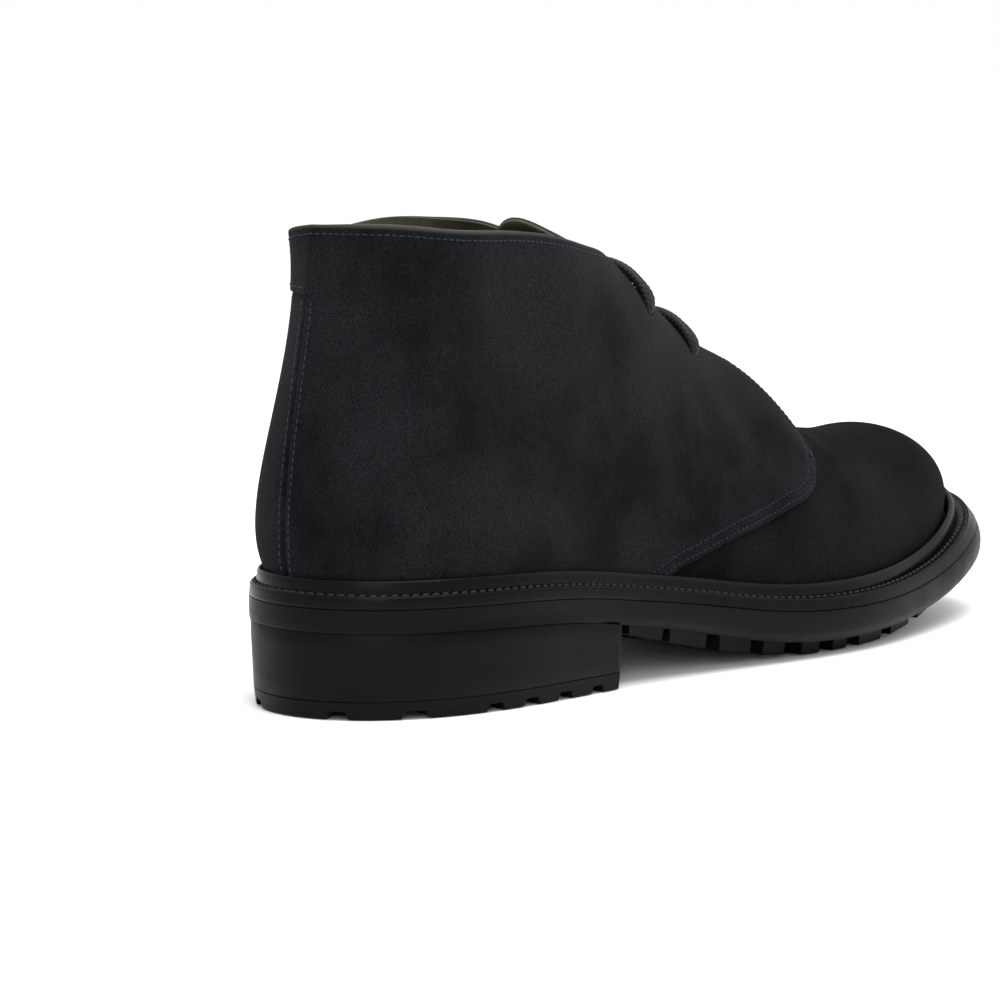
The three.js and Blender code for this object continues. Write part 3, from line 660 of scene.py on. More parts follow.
class Graph:
    """Short calls for the nodes that the materials share."""

    def __init__(self, material):
        self.nodes = material.node_tree.nodes
        self.links = material.node_tree.links
        self.place = self.nodes.new("ShaderNodeTexCoord").outputs["Object"]

    def link(self, source, target):
        self.links.new(source, target)

    def scaled(self, scale):
        node = self.nodes.new("ShaderNodeMapping")
        node.inputs["Scale"].default_value = scale
        self.link(self.place, node.inputs["Vector"])
        return node.outputs["Vector"]

    def noise(self, scale, detail=3, rough=0.6, stretch=None):
        node = self.nodes.new("ShaderNodeTexNoise")
        node.inputs["Scale"].default_value = scale
        node.inputs["Detail"].default_value = detail
        node.inputs["Roughness"].default_value = rough
        self.link(self.scaled(stretch) if stretch else self.place, node.inputs["Vector"])
        return node.outputs["Fac"]

    def attribute(self, name):
        node = self.nodes.new("ShaderNodeAttribute")
        node.attribute_name = name
        return node.outputs["Fac"]

    def between(self, value, low, high, start=0.0, end=1.0):
        node = self.nodes.new("ShaderNodeMapRange")
        node.interpolation_type = "SMOOTHSTEP"
        for socket, number in zip(("From Min", "From Max", "To Min", "To Max"), (low, high, start, end)):
            node.inputs[socket].default_value = number
        self.link(value, node.inputs["Value"])
        return node.outputs["Result"]

    def mix(self, factor, first, second):
        node = self.nodes.new("ShaderNodeMix")
        node.data_type = "RGBA"
        self.link(factor, node.inputs["Factor"])
        for socket, colour in (("A", first), ("B", second)):
            target = [s for s in node.inputs if s.name == socket and s.type == "RGBA"][0]
            if isinstance(colour, tuple):
                target.default_value = (*colour, 1)
            else:
                self.link(colour, target)
        return [s for s in node.outputs if s.type == "RGBA"][0]

    def bump(self, height, strength, distance, before=None):
        node = self.nodes.new("ShaderNodeBump")
        node.inputs["Strength"].default_value = strength
        node.inputs["Distance"].default_value = distance
        self.link(height, node.inputs["Height"])
        if before:
            self.link(before, node.inputs["Normal"])
        return node.outputs["Normal"]


SUEDE_DARK = (0.0046, 0.0050, 0.0060)
SUEDE_LIGHT = (0.0140, 0.0147, 0.0166)
# The vamp's tones: the same suede painted darker, a painted shade over the whole vamp and toe.
VAMP_PAINTED_SHADE_DARK = (0.0030, 0.0031, 0.0035)
VAMP_PAINTED_SHADE_LIGHT = (0.0098, 0.0098, 0.0102)
SUEDE_RIM = (0.050, 0.047, 0.040)
TAUPE = (0.060, 0.052, 0.039)
TAUPE_DARK = (0.028, 0.024, 0.018)
RUBBER = (0.0015, 0.0016, 0.0017)
THREAD_BLUE = (0.010, 0.019, 0.042)
THREAD_NAVY = (0.004, 0.006, 0.014)
THREAD_BLACK = (0.006, 0.006, 0.006)
# The lace's two tones: a painted shade in the braid's grooves and the lit tone of its crowns.
LACE_GROOVE_SHADE = (0.004, 0.0036, 0.003)
LACE_CROWN_LIT = (0.012, 0.0105, 0.008)


def suede(name, dark, light, edge, sheen):
    material, node = shader(
        name, dark, 0.95, Sheen_Weight=sheen, Sheen_Roughness=0.45, Specular_IOR_Level=0.03,
    )
    g = Graph(material)
    cloud = g.between(g.noise(22, 2, 0.5), 0.36, 0.66)
    patch = g.between(g.noise(85, 4, 0.6), 0.35, 0.7)
    fibre = g.between(g.noise(2600, 3, 0.8), 0.38, 0.62)
    nap = g.mix(cloud, dark, light)
    nap = g.mix(g.between(patch, 0, 1, 0, 0.45), nap, light)
    nap = g.mix(g.between(fibre, 0, 1, 0, 0.85), nap, tuple(0.2 * c for c in dark))
    worn = g.between(g.attribute("rim"), 0.15, 1.3, 0.75, 0)
    g.link(g.mix(worn, nap, edge), node.inputs["Base Color"])
    coarse = g.bump(g.noise(700, 4, 0.8), 0.6, 0.0005)
    g.link(g.bump(g.noise(2200, 3, 0.8), 0.5, 0.00018, coarse), node.inputs["Normal"])
    return material


def lining_leather():
    material, node = shader("lining_leather", TAUPE, 0.75, Specular_IOR_Level=0.3)
    g = Graph(material)
    g.link(g.mix(g.between(g.noise(60, 4), 0.3, 0.7), TAUPE_DARK, TAUPE), node.inputs["Base Color"])
    g.link(g.bump(g.noise(1500, 3, 0.6), 0.4, 0.0002), node.inputs["Normal"])
    return material


def rubber(name, rough, streaks):
    material, node = shader(name, RUBBER, rough, Specular_IOR_Level=0.075)
    g = Graph(material)
    wear = g.between(g.noise(70, 4), 0.35, 0.7, rough - 0.05, rough + 0.08)
    g.link(wear, node.inputs["Roughness"])
    lines = g.noise(1, 3, 0.7, stretch=(25, 25, 2600)) if streaks else g.noise(900, 3)
    grain = g.bump(lines, 0.22, 0.00012)
    g.link(g.bump(g.noise(260, 3), 0.12, 0.0003, grain), node.inputs["Normal"])
    return material


def thread(name, colour):
    material, node = shader(name, colour, 0.6, Specular_IOR_Level=0.2)
    g = Graph(material)
    shade = g.between(g.noise(500, 2), 0.35, 0.65)
    g.link(g.mix(shade, tuple(0.5 * c for c in colour), colour), node.inputs["Base Color"])
    return material


def waxed_cord():
    material, node = shader("waxed_cord", LACE_GROOVE_SHADE, 0.5, Specular_IOR_Level=0.16)
    g = Graph(material)
    height = g.attribute("braid")
    # Painted shade: the cord is darker in the braid's grooves and lighter on its crowns.
    g.link(g.mix(g.between(height, 0.35, 1, 0, 1), LACE_GROOVE_SHADE, LACE_CROWN_LIT), node.inputs["Base Color"])
    g.link(g.bump(g.noise(3500, 2), 0.3, 0.0001), node.inputs["Normal"])
    return material


SUEDE = suede("suede", SUEDE_DARK, SUEDE_LIGHT, SUEDE_RIM, 0.022)
# The vamp's suede: the quarters' suede with a painted shade, darker all over the vamp and toe.
SUEDE_VAMP_PAINTED_SHADE = suede("suede_vamp_painted_shade", VAMP_PAINTED_SHADE_DARK, VAMP_PAINTED_SHADE_LIGHT, SUEDE_RIM, 0.01)
LINING = lining_leather()
SOLE_RUBBER = rubber("sole_rubber", 0.42, True)
WELT_RUBBER = rubber("welt_rubber", 0.3, False)
BLUE = thread("thread_blue", THREAD_BLUE)
NAVY = thread("thread_navy", THREAD_NAVY)
BLACK = thread("thread_black", THREAD_BLACK)
CORD = waxed_cord()


# ---------------------------------------------------------------- the upper as sheets
ROWS = 64
PARTS = 12
SHARES = np.linspace(0, 1, ROWS + 1)
FOOT_SHARE = -0.05
TAB_ROUND = 21.0  # how far the heel tab reaches round the medial side
TAB_LOW = 117.0  # height of its lower edge
TAB_CORNER = 4.0
HOLE = 2.3  # radius of an eyelet
# The quarters' front edge as the section parameter and the place along the boot.
FRONT_EDGE = table(
    "t x",
    (-0.05, 118), (0.01, 127), (0.05, 137), (0.15, 154), (0.23, 168), (0.29, 178), (0.33, 186),
    (0.36, 189.5), (0.4, 193), (0.43, 194.3), (0.46, 195.6), (0.52, 198), (0.59, 199.4), (0.67, 200),
    (0.75, 199.6), (0.84, 197.2), (0.91, 192.5), (1, 186),
)


def front_line(grid):
    """The quarter's front edge on one side of the upper."""
    t = np.concatenate([[FOOT_SHARE], SHARES])
    x = np.interp(t, [r["t"] for r in FRONT_EDGE], [r["x"] for r in FRONT_EDGE])
    rows = [[np.interp(x[j], grid[:, j, 0], grid[:, j, k]) for k in range(3)] for j in range(len(t))]
    return np.array(rows)


def welded(columns, around):
    """Points, triangles and the grid's own indices from columns; around joins the last to the first."""
    total, rows = columns.shape[:2]
    flat = columns.reshape(-1, 3)
    _, first, member = np.unique(np.round(flat, 3), axis=0, return_index=True, return_inverse=True)
    strips = total if around else total - 1
    i, j = np.meshgrid(np.arange(strips), np.arange(rows - 1), indexing="ij")
    a, b = i * rows + j, (i + 1) % total * rows + j
    corners = ((a, b, b + 1), (a, b + 1, a + 1))
    triangles = member.reshape(-1)[np.concatenate([np.stack(f, -1).reshape(-1, 3) for f in corners])]
    whole = (triangles[:, 0] != triangles[:, 1]) & (triangles[:, 1] != triangles[:, 2])
    whole &= triangles[:, 0] != triangles[:, 2]
    return flat[first], triangles[whole], first


def round_the_back(sides):
    """Each grid point's path along its row from the back seam: lateral negative, medial positive."""
    made = []
    for sign, grid in zip(SIDES, sides):
        step = np.linalg.norm(np.diff(grid, axis=0), axis=2)
        made.append(sign * np.concatenate([np.zeros((1, step.shape[1])), np.cumsum(step, axis=0)]))
    return np.concatenate([made[0], made[1][-2:0:-1]]).reshape(-1)


def rounded_corner(u, z):
    """Signed distance inside the heel tab, which has a rounded lower front corner."""
    a, b = u - (TAB_ROUND - TAB_CORNER), TAB_LOW + TAB_CORNER - z
    outside = np.hypot(np.maximum(a, 0), np.maximum(b, 0))
    return TAB_CORNER - outside - np.minimum(np.maximum(a, b), 0)


open_sides = [wall_grid(side, SHARES, PARTS) for side in SIDES]
shut = PARTS * CLOSED_FROM
open_sides[1][shut:, -1] = open_sides[0][shut:, -1]
FRONT = [front_line(grid) for grid in open_sides]
TOP = [grid[:shut + 1, -1] for grid in open_sides]


def arch_at(x):
    return {name: float(ARCH_CURVES[name](x)) for name in ARCH_CURVES} | {"x": x}


ARCH_CURVES = {name: column(ARCH, name) for name in ARCH[0] if name != "x"}


def facing(x, side, reach):
    """A point of the arch at x, at a reach beside the ridge."""
    row = arch_at(x)
    handles = arch_handles(row, side)
    r, z = bezier(handles, arch_stop(handles, max(reach, 0.01)))
    return np.array([x, row["middle"] + side * r, z])


def facing_normal(x, side, reach):
    beside = max(reach, 1)
    along = facing(x + 1, side, beside) - facing(x - 1, side, beside)
    across = facing(x, side, beside + 0.5) - facing(x, side, beside - 0.5)
    normal = np.cross(along, across)
    return normal / np.linalg.norm(normal) * np.sign(normal[2])


def beside_edge(x, side, past):
    """A point of the facing past its edge, and its normal."""
    reach = arch_at(x)["gap"] + past
    return facing(x, side, reach), facing_normal(x, side, reach)


HOLES = [beside_edge(x, side, EYELET_MARGIN) for x in EYELETS for side in SIDES]
bridge = [facing(FRONT_EDGE[-1]["x"], side, r) for side, r in ((-1, 5), (-1, 2), (1, 0.01), (1, 2), (1, 5))]
EDGE_LINE = np.concatenate([FRONT[0], bridge, FRONT[1][::-1]])


def in_front(points):
    """Signed distance to the quarters' front edge, positive on the vamp."""
    far = distance(points, EDGE_LINE)
    sign = np.zeros(len(points))
    for side, line in zip(SIDES, FRONT):
        own = points[:, 1] * side >= 0
        high = np.maximum.accumulate(line[:, 2]) + 1e-6 * np.arange(len(line))
        limit = np.interp(points[:, 2], high, line[:, 0])
        sign[own] = np.where(points[own, 0] > limit[own], 1, -1)
    return far * sign


def hole_field(points):
    best = np.full(len(points), 99.0)
    for centre, normal in HOLES:
        away = points - centre
        along = away @ normal
        flat = np.linalg.norm(away - along[:, None] * normal, axis=1)
        best = np.minimum(best, np.where(abs(along) < 6, flat, 99))
    return best


# Soft creases: points along each, its half width and its depth.
CREASES = [
    ([(140, -26, 92), (148, -33, 80), (150, -39, 66), (146, -43, 54)], 6.5, 0.8),
    ([(165, -24, 79), (170, -31, 68), (168, -38, 56)], 5.0, 0.6),
    ([(205, -27, 61), (208, -16, 68), (209, 0, 70), (208, 16, 68), (205, 27, 62)], 5.0, 0.8),
    ([(218, -30, 55), (222, -18, 62), (223, 4, 64), (221, 22, 61)], 6.5, 0.6),
    ([(30, -30, 60), (40, -33, 66), (56, -36, 68)], 9.0, 0.6),
    ([(140, 26, 92), (149, 34, 78), (150, 38, 64), (146, 41, 52)], 6.5, 0.8),
    ([(60, 33, 105), (78, 34, 96), (92, 34, 84)], 9.0, 0.7),
    ([(62, -31, 108), (80, -32, 100), (96, -31, 90)], 10.0, 0.8),
    ([(100, -24, 118), (114, -26, 106), (124, -30, 92)], 9.0, 0.6),
]


def creased(points):
    total = np.zeros(len(points))
    for line, wide, deep in CREASES:
        path = smooth_line(line, 3)
        near = distance(points, path)
        ends = np.minimum(
            np.linalg.norm(points - path[0], axis=1),
            np.linalg.norm(points - path[-1], axis=1),
        )
        total -= deep * np.exp(-(near / wide) ** 2) * (0.3 + 0.7 * smooth(ends, 0, 18))
    return total


def quarter_sheet(sides):
    """Both sides of the upper, open along the throat, with the fields that its panels are cut by."""
    points, triangles, first = welded(np.concatenate([sides[0], sides[1][-2:0:-1]]), around=True)
    u = round_the_back(sides)[first]
    tab = rounded_corner(u, points[:, 2])
    return Sheet(points, vertex_normals(points, triangles), triangles, {
        "front": in_front(points),
        "hole": hole_field(points),
        "crease": creased(points),
        "top": np.minimum(distance(points, TOP[0]), distance(points, TOP[1])),
        "round": u,
        "tab": tab,
        "lateral": np.maximum(-u, tab),
    })


def cut_lines(sheet, cuts):
    for name, values in cuts:
        for value in values:
            sheet.split(name, value)


NEAR, FAR = 0.15, 0.5  # lines beside a cut edge that let it be rolled over
shell = quarter_sheet(open_sides)
cut_lines(shell, [
    ("front", (0, -NEAR, -FAR)),
    ("top", (NEAR, FAR)),
    ("lateral", (0, NEAR, FAR)),
    ("hole", (HOLE, HOLE + NEAR, HOLE + FAR)),
])


def corner_mean(sheet, name):
    return sheet.field(name)[sheet.triangles].mean(1)


PANEL = 1.2  # thickness of the outer leather
LAYER_GAP = 0.05  # between the leather and the lining
LINING_THICK = WALL - PANEL - LAYER_GAP
OVERLAP = 0.35  # how far a quarter's front edge stands off the vamp
OVERLAP_FADE = 25  # how far behind that edge this ends
TAB_LIFT = 0.6  # how far the heel tab stands off the quarter under it
GROOVE = 0.7  # depth and half width of the back seam


def tab_lift(u, z):
    """How far the lateral quarter rises towards the heel tab, which crosses the back seam."""
    return TAB_LIFT * smooth(u, -6, 1) * smooth(z, TAB_LOW - 5, TAB_LOW + 0.5)


def overlap(front):
    return OVERLAP * (1 - smooth(-front, 0, OVERLAP_FADE))


def build_quarters():
    front, top, hole = shell.field("front"), shell.field("top"), shell.field("hole")
    u, z, tab = shell.field("round"), shell.points[:, 2], shell.field("tab")
    crease = shell.field("crease")
    kept = (corner_mean(shell, "front") < 0) & (corner_mean(shell, "hole") >= HOLE)
    groove = GROOVE * np.exp(-(u / GROOVE) ** 2) * (1 - smooth(z, TAB_LOW - 1.5, TAB_LOW))
    edge = np.minimum(np.minimum(-front, top), hole - HOLE)
    worn = np.minimum(top, np.minimum(1 - front, hole - HOLE + 0.5))
    face = overlap(front) + crease - groove

    lateral = kept & (corner_mean(shell, "lateral") > 0)
    level = face + tab_lift(u, z)
    rim = np.minimum(edge, shell.field("lateral") + 6 * (z < TAB_LOW - 2))
    obj = panel("quarter_lateral", shell, lateral, level, level - PANEL, rim, SUEDE, worn=worn)
    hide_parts("upper")

    medial = kept & (corner_mean(shell, "round") > 0)
    level = face - 0.5 * smooth(z, TAB_LOW - 5, TAB_LOW + 0.5) * smooth(tab, -1, 0.6)
    panel("quarter_medial", shell, medial, level, level - PANEL, edge, SUEDE, worn=worn)

    level = crease - PANEL - LAYER_GAP
    rim = np.minimum(top, hole - HOLE)
    low = level - LINING_THICK
    panel("lining_quarters", shell, kept, level, low, rim, LINING, rounding=0.35)


build_quarters()


# ---------------------------------------------------------------- vamp
VAMP_UNDER = 8.0  # how far the vamp runs on under the quarters


def closed_sides():
    made = [wall_grid(side, SHARES, PARTS, closed=True)[PARTS * len(COLLAR):] for side in SIDES]
    made[1][:, -1] = made[0][:, -1]
    return made


def vamp_sheet():
    lateral, medial = closed_sides()
    points, triangles, _ = welded(np.concatenate([lateral, medial[-2::-1]]), around=False)
    fields = {"front": in_front(points), "crease": creased(points)}
    return Sheet(points, vertex_normals(points, triangles), triangles, fields)


vamp = vamp_sheet()
cut_lines(vamp, [("front", (-VAMP_UNDER, NEAR - VAMP_UNDER, FAR - VAMP_UNDER, 0, 0.8))])


def build_vamp():
    front, crease = vamp.field("front"), vamp.field("crease")
    keep = corner_mean(vamp, "front") > -VAMP_UNDER
    level = crease - 0.9 * (1 - smooth(front, 0, 18))
    rim = np.where(front < 0, front + VAMP_UNDER, 20)
    # The vamp takes the darker suede: a painted shade over the vamp and toe.
    panel("vamp", vamp, keep, level, crease - PANEL, rim, SUEDE_VAMP_PAINTED_SHADE, rounding=0.25)
    ahead = corner_mean(vamp, "front") > 0
    level = crease - PANEL - LAYER_GAP
    panel("lining_vamp", vamp, ahead, level, level - LINING_THICK, front, LINING, rounding=0)


build_vamp()


# ---------------------------------------------------------------- stitches of the upper
EVEN_STEP = 1.2
BLUE_STITCH = {"pitch": 2.1, "length": 1.5, "radius": 0.24}
NAVY_STITCH = {"pitch": 1.9, "length": 1.35, "radius": 0.25}
BACK_STITCH = {"pitch": 2.2, "length": 1.6, "radius": 0.24}
WELT_STITCH = {"pitch": 3.0, "length": 2.6, "radius": 0.68, "tilt": 0.14}


def even(lines):
    """Smoothed, evenly spaced rows, so that stitches keep a steady run."""
    made = []
    for rows in lines:
        along = travelled(rows[:, :3])
        if along[-1] < 2 * EVEN_STEP:
            continue
        made.append(resampled(rows, along, np.linspace(0, along[-1], int(along[-1] / EVEN_STEP) + 1)))
    return made


def surface_level(rows):
    """How far the quarters' face stands off the sheet under rows of its data."""
    front, u, crease, tab = (shell.value(rows, name) for name in ("front", "round", "crease", "tab"))
    return overlap(front) + crease + tab_lift(u, rows[:, 2]) * ((u < 0) | (tab > 0))


def sew(name, lines, lift, material, stitch):
    made = even(lines)
    for rows in made:
        rows[:, :3] += rows[:, 3:6] * (surface_level(rows) + lift)[:, None]
    points, faces = stitches(made, **stitch)
    piece(name, points, faces, material)


def build_stitches():
    """Each seam follows a field of the sheet at a fixed distance from a cut edge."""
    value = shell.value

    def quarter(rows):
        return (value(rows, "front") < -2.2) & (rows[:, 2] > 60)

    def clear(rows):
        return (value(rows, "top") > 2.5) & (rows[:, 2] > base_at(rows[:, 0]) - 0.5)

    def below_tab(rows):
        return (rows[:, 2] < TAB_LOW - 1) & (rows[:, 0] < 40)

    def round_tab(rows):
        return (value(rows, "round") > 0.5) & (value(rows, "top") > 2.4)

    for name, field, places, wanted, lift, material, stitch in (
        ("stitches_top", "top", (2.6,), quarter, 0.02, BLUE, BLUE_STITCH),
        ("stitches_front", "front", (-1.5, -4.3), clear, -0.02, NAVY, NAVY_STITCH),
        ("stitches_back", "round", (-2, 2), below_tab, -0.02, BLUE, BACK_STITCH),
        ("stitches_tab", "tab", (1.8,), round_tab, 0, BLUE, BLUE_STITCH),
    ):
        lines = [line for place in places for line in shell.isoline(field, place, wanted)]
        sew(name, lines, lift, material, stitch)


build_stitches()


TACK_HIGH = 57.5
TACK_SKIP = 10  # points at the foot of the front edge, which are passed over


def build_tacks():
    """A small arrow of thread where each quarter's front edge is held to the vamp."""
    points, faces = [], []
    for side, line in zip(SIDES, FRONT):
        near = TACK_SKIP + np.argmin(abs(line[TACK_SKIP:, 2] - TACK_HIGH))
        centre = line[near]
        along = line[near + 2] - line[near - 2]
        along /= np.linalg.norm(along)
        out = facing_normal(centre[0], side, abs(centre[1]) - 1)
        ahead = np.cross(along, out)
        ahead *= np.sign(ahead[0])
        for shift in np.linspace(-1, 1, 5):
            a = centre + along * shift * 2.4 - ahead * (2.6 - 1.8 * abs(shift)) + out * 0.45
            b = centre + along * shift * 2.4 + ahead * (1.0 + 0.6 * abs(shift)) - out * 0.85
            middle = centre + along * shift * 2.4 + out * 0.3
            line = smooth_line([a, middle, b], 0.5)
            add_to(points, faces, *tube(line, BLUE_STITCH["radius"], STITCH_SIDES))
    piece("tacks", points, faces, BLUE)


build_tacks()


# ---------------------------------------------------------------- tongue
TONGUE_LONG = 90  # steps along and across
TONGUE_WIDE = 60
TONGUE_TOE = 232
TONGUE_HALF = table("x half", (96, 22), (130, 21), (180, 17), (232, 12))
TONGUE_TOP = table("across x", (-24, 117), (-12, 112), (0, 107), (12, 103.5), (24, 106))
TONGUE_ACROSS = 24
TONGUE_TUCK = 3.3  # how much deeper it lies under the facings
TONGUE_SWELL = 2.7  # how far it rises between them
TONGUE_FLARE = 2.1  # how far its free end stands up


def tongue_grid():
    """The tongue's top face before it is set in: a part of the arched sections."""
    rows = [row for row in ARCH if row["x"] < 240]
    half = column(TONGUE_HALF, "half")
    top = column(TONGUE_TOP, "x", key="across")
    columns = []
    for v in np.linspace(-1, 1, TONGUE_WIDE + 1):
        side = -1 if v < 0 else 1
        ends = []
        for row in rows:
            handles = arch_handles(row, side)
            r, z = bezier(handles, arch_stop(handles, max(abs(v) * float(half(row["x"])), 0.01)))
            ends.append((row["middle"] + side * r, z))
        cross = spline([row["x"] for row in rows], ends)
        start = float(top(v * TONGUE_ACROSS))
        x = start + (TONGUE_TOE - start) * np.linspace(0, 1, TONGUE_LONG + 1)
        y, z = cross(x).T
        columns.append(np.stack([x, y, z - TONGUE_SAG * np.maximum(0, TONGUE_FREE - x)], 1))
    return np.array(columns)


def tongue_level(grid):
    """How far the tongue's top face stands off the arched sections."""
    x = grid[..., 0]
    gap = ARCH_CURVES["gap"](x)
    reach = abs(grid[..., 1] - ARCH_CURVES["middle"](x))
    hidden = smooth(reach, gap - 2.5, gap + 2.5) * smooth(x, 112, 124) * (1 - smooth(x, 185, 200))
    middle = (1 - smooth(reach, gap - 4.5, gap - 0.8)) * smooth(x, 116, 128) * (1 - smooth(x, 162, 176))
    level = -(WALL + TONGUE_SPACE) - TONGUE_TUCK * hidden + TONGUE_SWELL * middle
    flare = TONGUE_FLARE * (1 - smooth(x, 98, 112))
    return level + flare - 0.8 * smooth(x, 100, 110) * (1 - smooth(x, 116, 128))


def build_tongue():
    grid = tongue_grid()
    normal = np.cross(np.gradient(grid, axis=1), np.gradient(grid, axis=0))
    normal /= np.linalg.norm(normal, axis=2)[..., None]
    normal *= np.sign(normal[..., 2:])
    level = tongue_level(grid)
    n = TONGUE_LONG + 1
    borders = (grid[:, :1], grid[:1], grid[-1:])
    edge = np.min([np.linalg.norm(grid - border, axis=2) for border in borders], axis=0)
    rolled = 0.5 * (1 - np.sqrt(1 - (1 - np.clip(edge / 1.5, 0, 1)) ** 2))
    faces = [
        (j * n + i, j * n + i + 1, (j + 1) * n + i + 1, (j + 1) * n + i)
        for j in range(TONGUE_WIDE) for i in range(TONGUE_LONG)
    ]
    index = np.arange(grid[..., 0].size).reshape(-1, n)
    ring = np.concatenate([index[0], index[1:, -1], index[-1, -2::-1], index[-2:0:-1, 0]]).tolist()
    count = index.size
    walls = [(a, b, b + count, a + count) for a, b in zip(ring, ring[1:] + ring[:1])]
    closed = turned(faces) + [tuple(v + count for v in f) for f in faces] + walls
    for name, high, low, roll, material in (
        ("tongue_outside", 0.0, 1.05, rolled, SUEDE),
        ("tongue_lining", 1.1, TONGUE_THICK, 0, LINING),
    ):
        outer = (grid + normal * (level - high - roll)[..., None]).reshape(-1, 3)
        inner = (grid + normal * (level - low)[..., None]).reshape(-1, 3)
        obj = piece(name, np.concatenate([outer, inner]), closed, material)
        colour_by(obj, "rim", np.concatenate([edge.reshape(-1), np.zeros(count)]))
        if name == "tongue_outside":
            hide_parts("tongue")


build_tongue()


# ---------------------------------------------------------------- laces
BRAID_PITCH = 3.4
BRAID_STRANDS = 4
BRAID_DEPTH = 0.075
LACE_SIDES = 20
LACE_STEP = 0.28


def braid(angle, along):
    first = np.cos(BRAID_STRANDS * angle + 2 * np.pi * along / BRAID_PITCH * 2)
    second = np.cos(BRAID_STRANDS * angle - 2 * np.pi * along / BRAID_PITCH * 2)
    return 1 - BRAID_DEPTH + BRAID_DEPTH * np.maximum(first, second)


def through_hole(x, side, toward):
    """Points from under the facing up through the eyelet; toward shifts the hidden part along x."""
    centre, out = beside_edge(x, side, EYELET_MARGIN)
    below, deep = beside_edge(x + toward * 5.5, side, EYELET_MARGIN)
    return [
        below - deep * (WALL + 2.0),
        centre - out * (WALL + 0.9) + [toward * 1.6, 0, 0],
        centre - out * 0.6,
    ]


def over_ridge(x, shift):
    """Points of one strand over the facings from the lateral to the medial side."""
    made = []
    clear = LACE_DIAMETER / 2 + 0.15
    for side, order in ((-1, 1), (1, -1)):
        half = []
        for past, up, spread in ((EYELET_MARGIN - 1.9, 0.75, 0.7), (EYELET_MARGIN / 2, 1, 1), (0, 0.85, 1)):
            point, out = beside_edge(x + shift * spread, side, past)
            half.append(point + out * clear * up)
        made += half[::order]
        if side < 0:
            top = facing(x + shift, -1, 0.01)
            made.append(top + facing_normal(x + shift, -1, 0.01) * (LACE_CLEAR - LACE_DIP - 0.4))
    return made


def build_laces():
    low, high = EYELETS
    points, faces, height = [], [], []
    for shift, (near, far) in ((LACE_SPACING / 2, (-1, 1)), (-LACE_SPACING / 2, (1, -1))):
        # up from the far side's low eyelet, over, under the near facing, and over again
        bar_low = over_ridge(low, shift)
        bar_high = over_ridge(high, shift)
        if near < 0:
            bar_low.reverse()
        else:
            bar_high.reverse()
        path = through_hole(low, far, -1) + bar_low + through_hole(low, near, -1)[::-1]
        path += through_hole(high, near, 1) + bar_high + through_hole(high, far, 1)[::-1]
        made, quads = tube(smooth_line(path, LACE_STEP), LACE_DIAMETER / 2, LACE_SIDES, braid)
        add_to(points, faces, made, quads)
        rings = made.reshape(-1, LACE_SIDES, 3)
        # The braid's relief height per vertex, which paints shade into the cord's grooves.
        size = np.linalg.norm(rings - rings.mean(1)[:, None], axis=2) / (LACE_DIAMETER / 2)
        height += ((size - (1 - 2 * BRAID_DEPTH)) / (2 * BRAID_DEPTH)).reshape(-1).tolist()
    obj = piece("lace", points, faces, CORD)
    colour_by(obj, "braid", height)
    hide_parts("lace_bar_low", "lace_bar_high")


build_laces()


# ---------------------------------------------------------------- welt
ROUND = 2400  # steps round the welt
FINE = outline(ROUND)
SEEN_GAP = 0.05  # between the rubber pieces
WIDEST = 0.62  # how far down the sidewall stands out most


def side_out(x, share):
    """How far the sidewall stands out, from the welt's top (0) to the sole's bottom (1)."""
    above = swell(x) * np.sin(np.pi / 2 * np.minimum(share / WIDEST, 1))
    fall = np.maximum(share - WIDEST, 0) / (1 - WIDEST)
    return np.where(share < WIDEST, above, swell(x) - (swell(x) + tuck(x)) * fall**3)


# The welt's section from underneath, round its edge and in over the lip. Each point's depth in from the
# outline is millimetres plus a share of the lip minus a share of how far the sidewall stands out. Its
# height over the top face is millimetres minus a share of the thickness plus a share of the wheeling.
WELT_SECTION = table(
    "depth lip out rise down wheel",
    (WELT_WIDE, 0, 0, 0, 1, 0),
    (2, 0, 0, 0, 1, 0),
    (0.25, 0, 1, 0, 1, 0),
    (0, 0, 1, 0.25, 1, 0),
    (0, 0, 0.75, 0, 0.7, 0),
    (0, 0, 0.35, 0, 0.35, 0),
    (0, 0, 0, -0.55, 0, 0),
    (0.12, 0, 0, -0.2, 0, 0),
    (0.42, 0, 0, 0, 0, 0.4),
    (0.35, 0.16, 0, 0.06, 0, 1),
    (0.1, 0.34, 0, 0.04, 0, 1),
    (0, 0.42, 0, -0.12, 0, 0.3),
    (0, 0.48, 0, -0.22, 0, 0),
    (0, 0.74, 0, -0.28, 0, 0),
    (0, 0.84, 0, -0.3, 0, 0),
    (0, 0.93, 0, -0.75, 0, 0),
    (0, 0.99, 0, -0.8, 0, 0),
)
WHEEL_DEEP = 0.36
WHEEL_PITCH = 1.25
BEAD_STEPS = 10
BEAD_FOOT = 0.35  # how far the bead starts under the top face
WELT_SEAM = 0.66  # where its stitches run, as a share of the lip


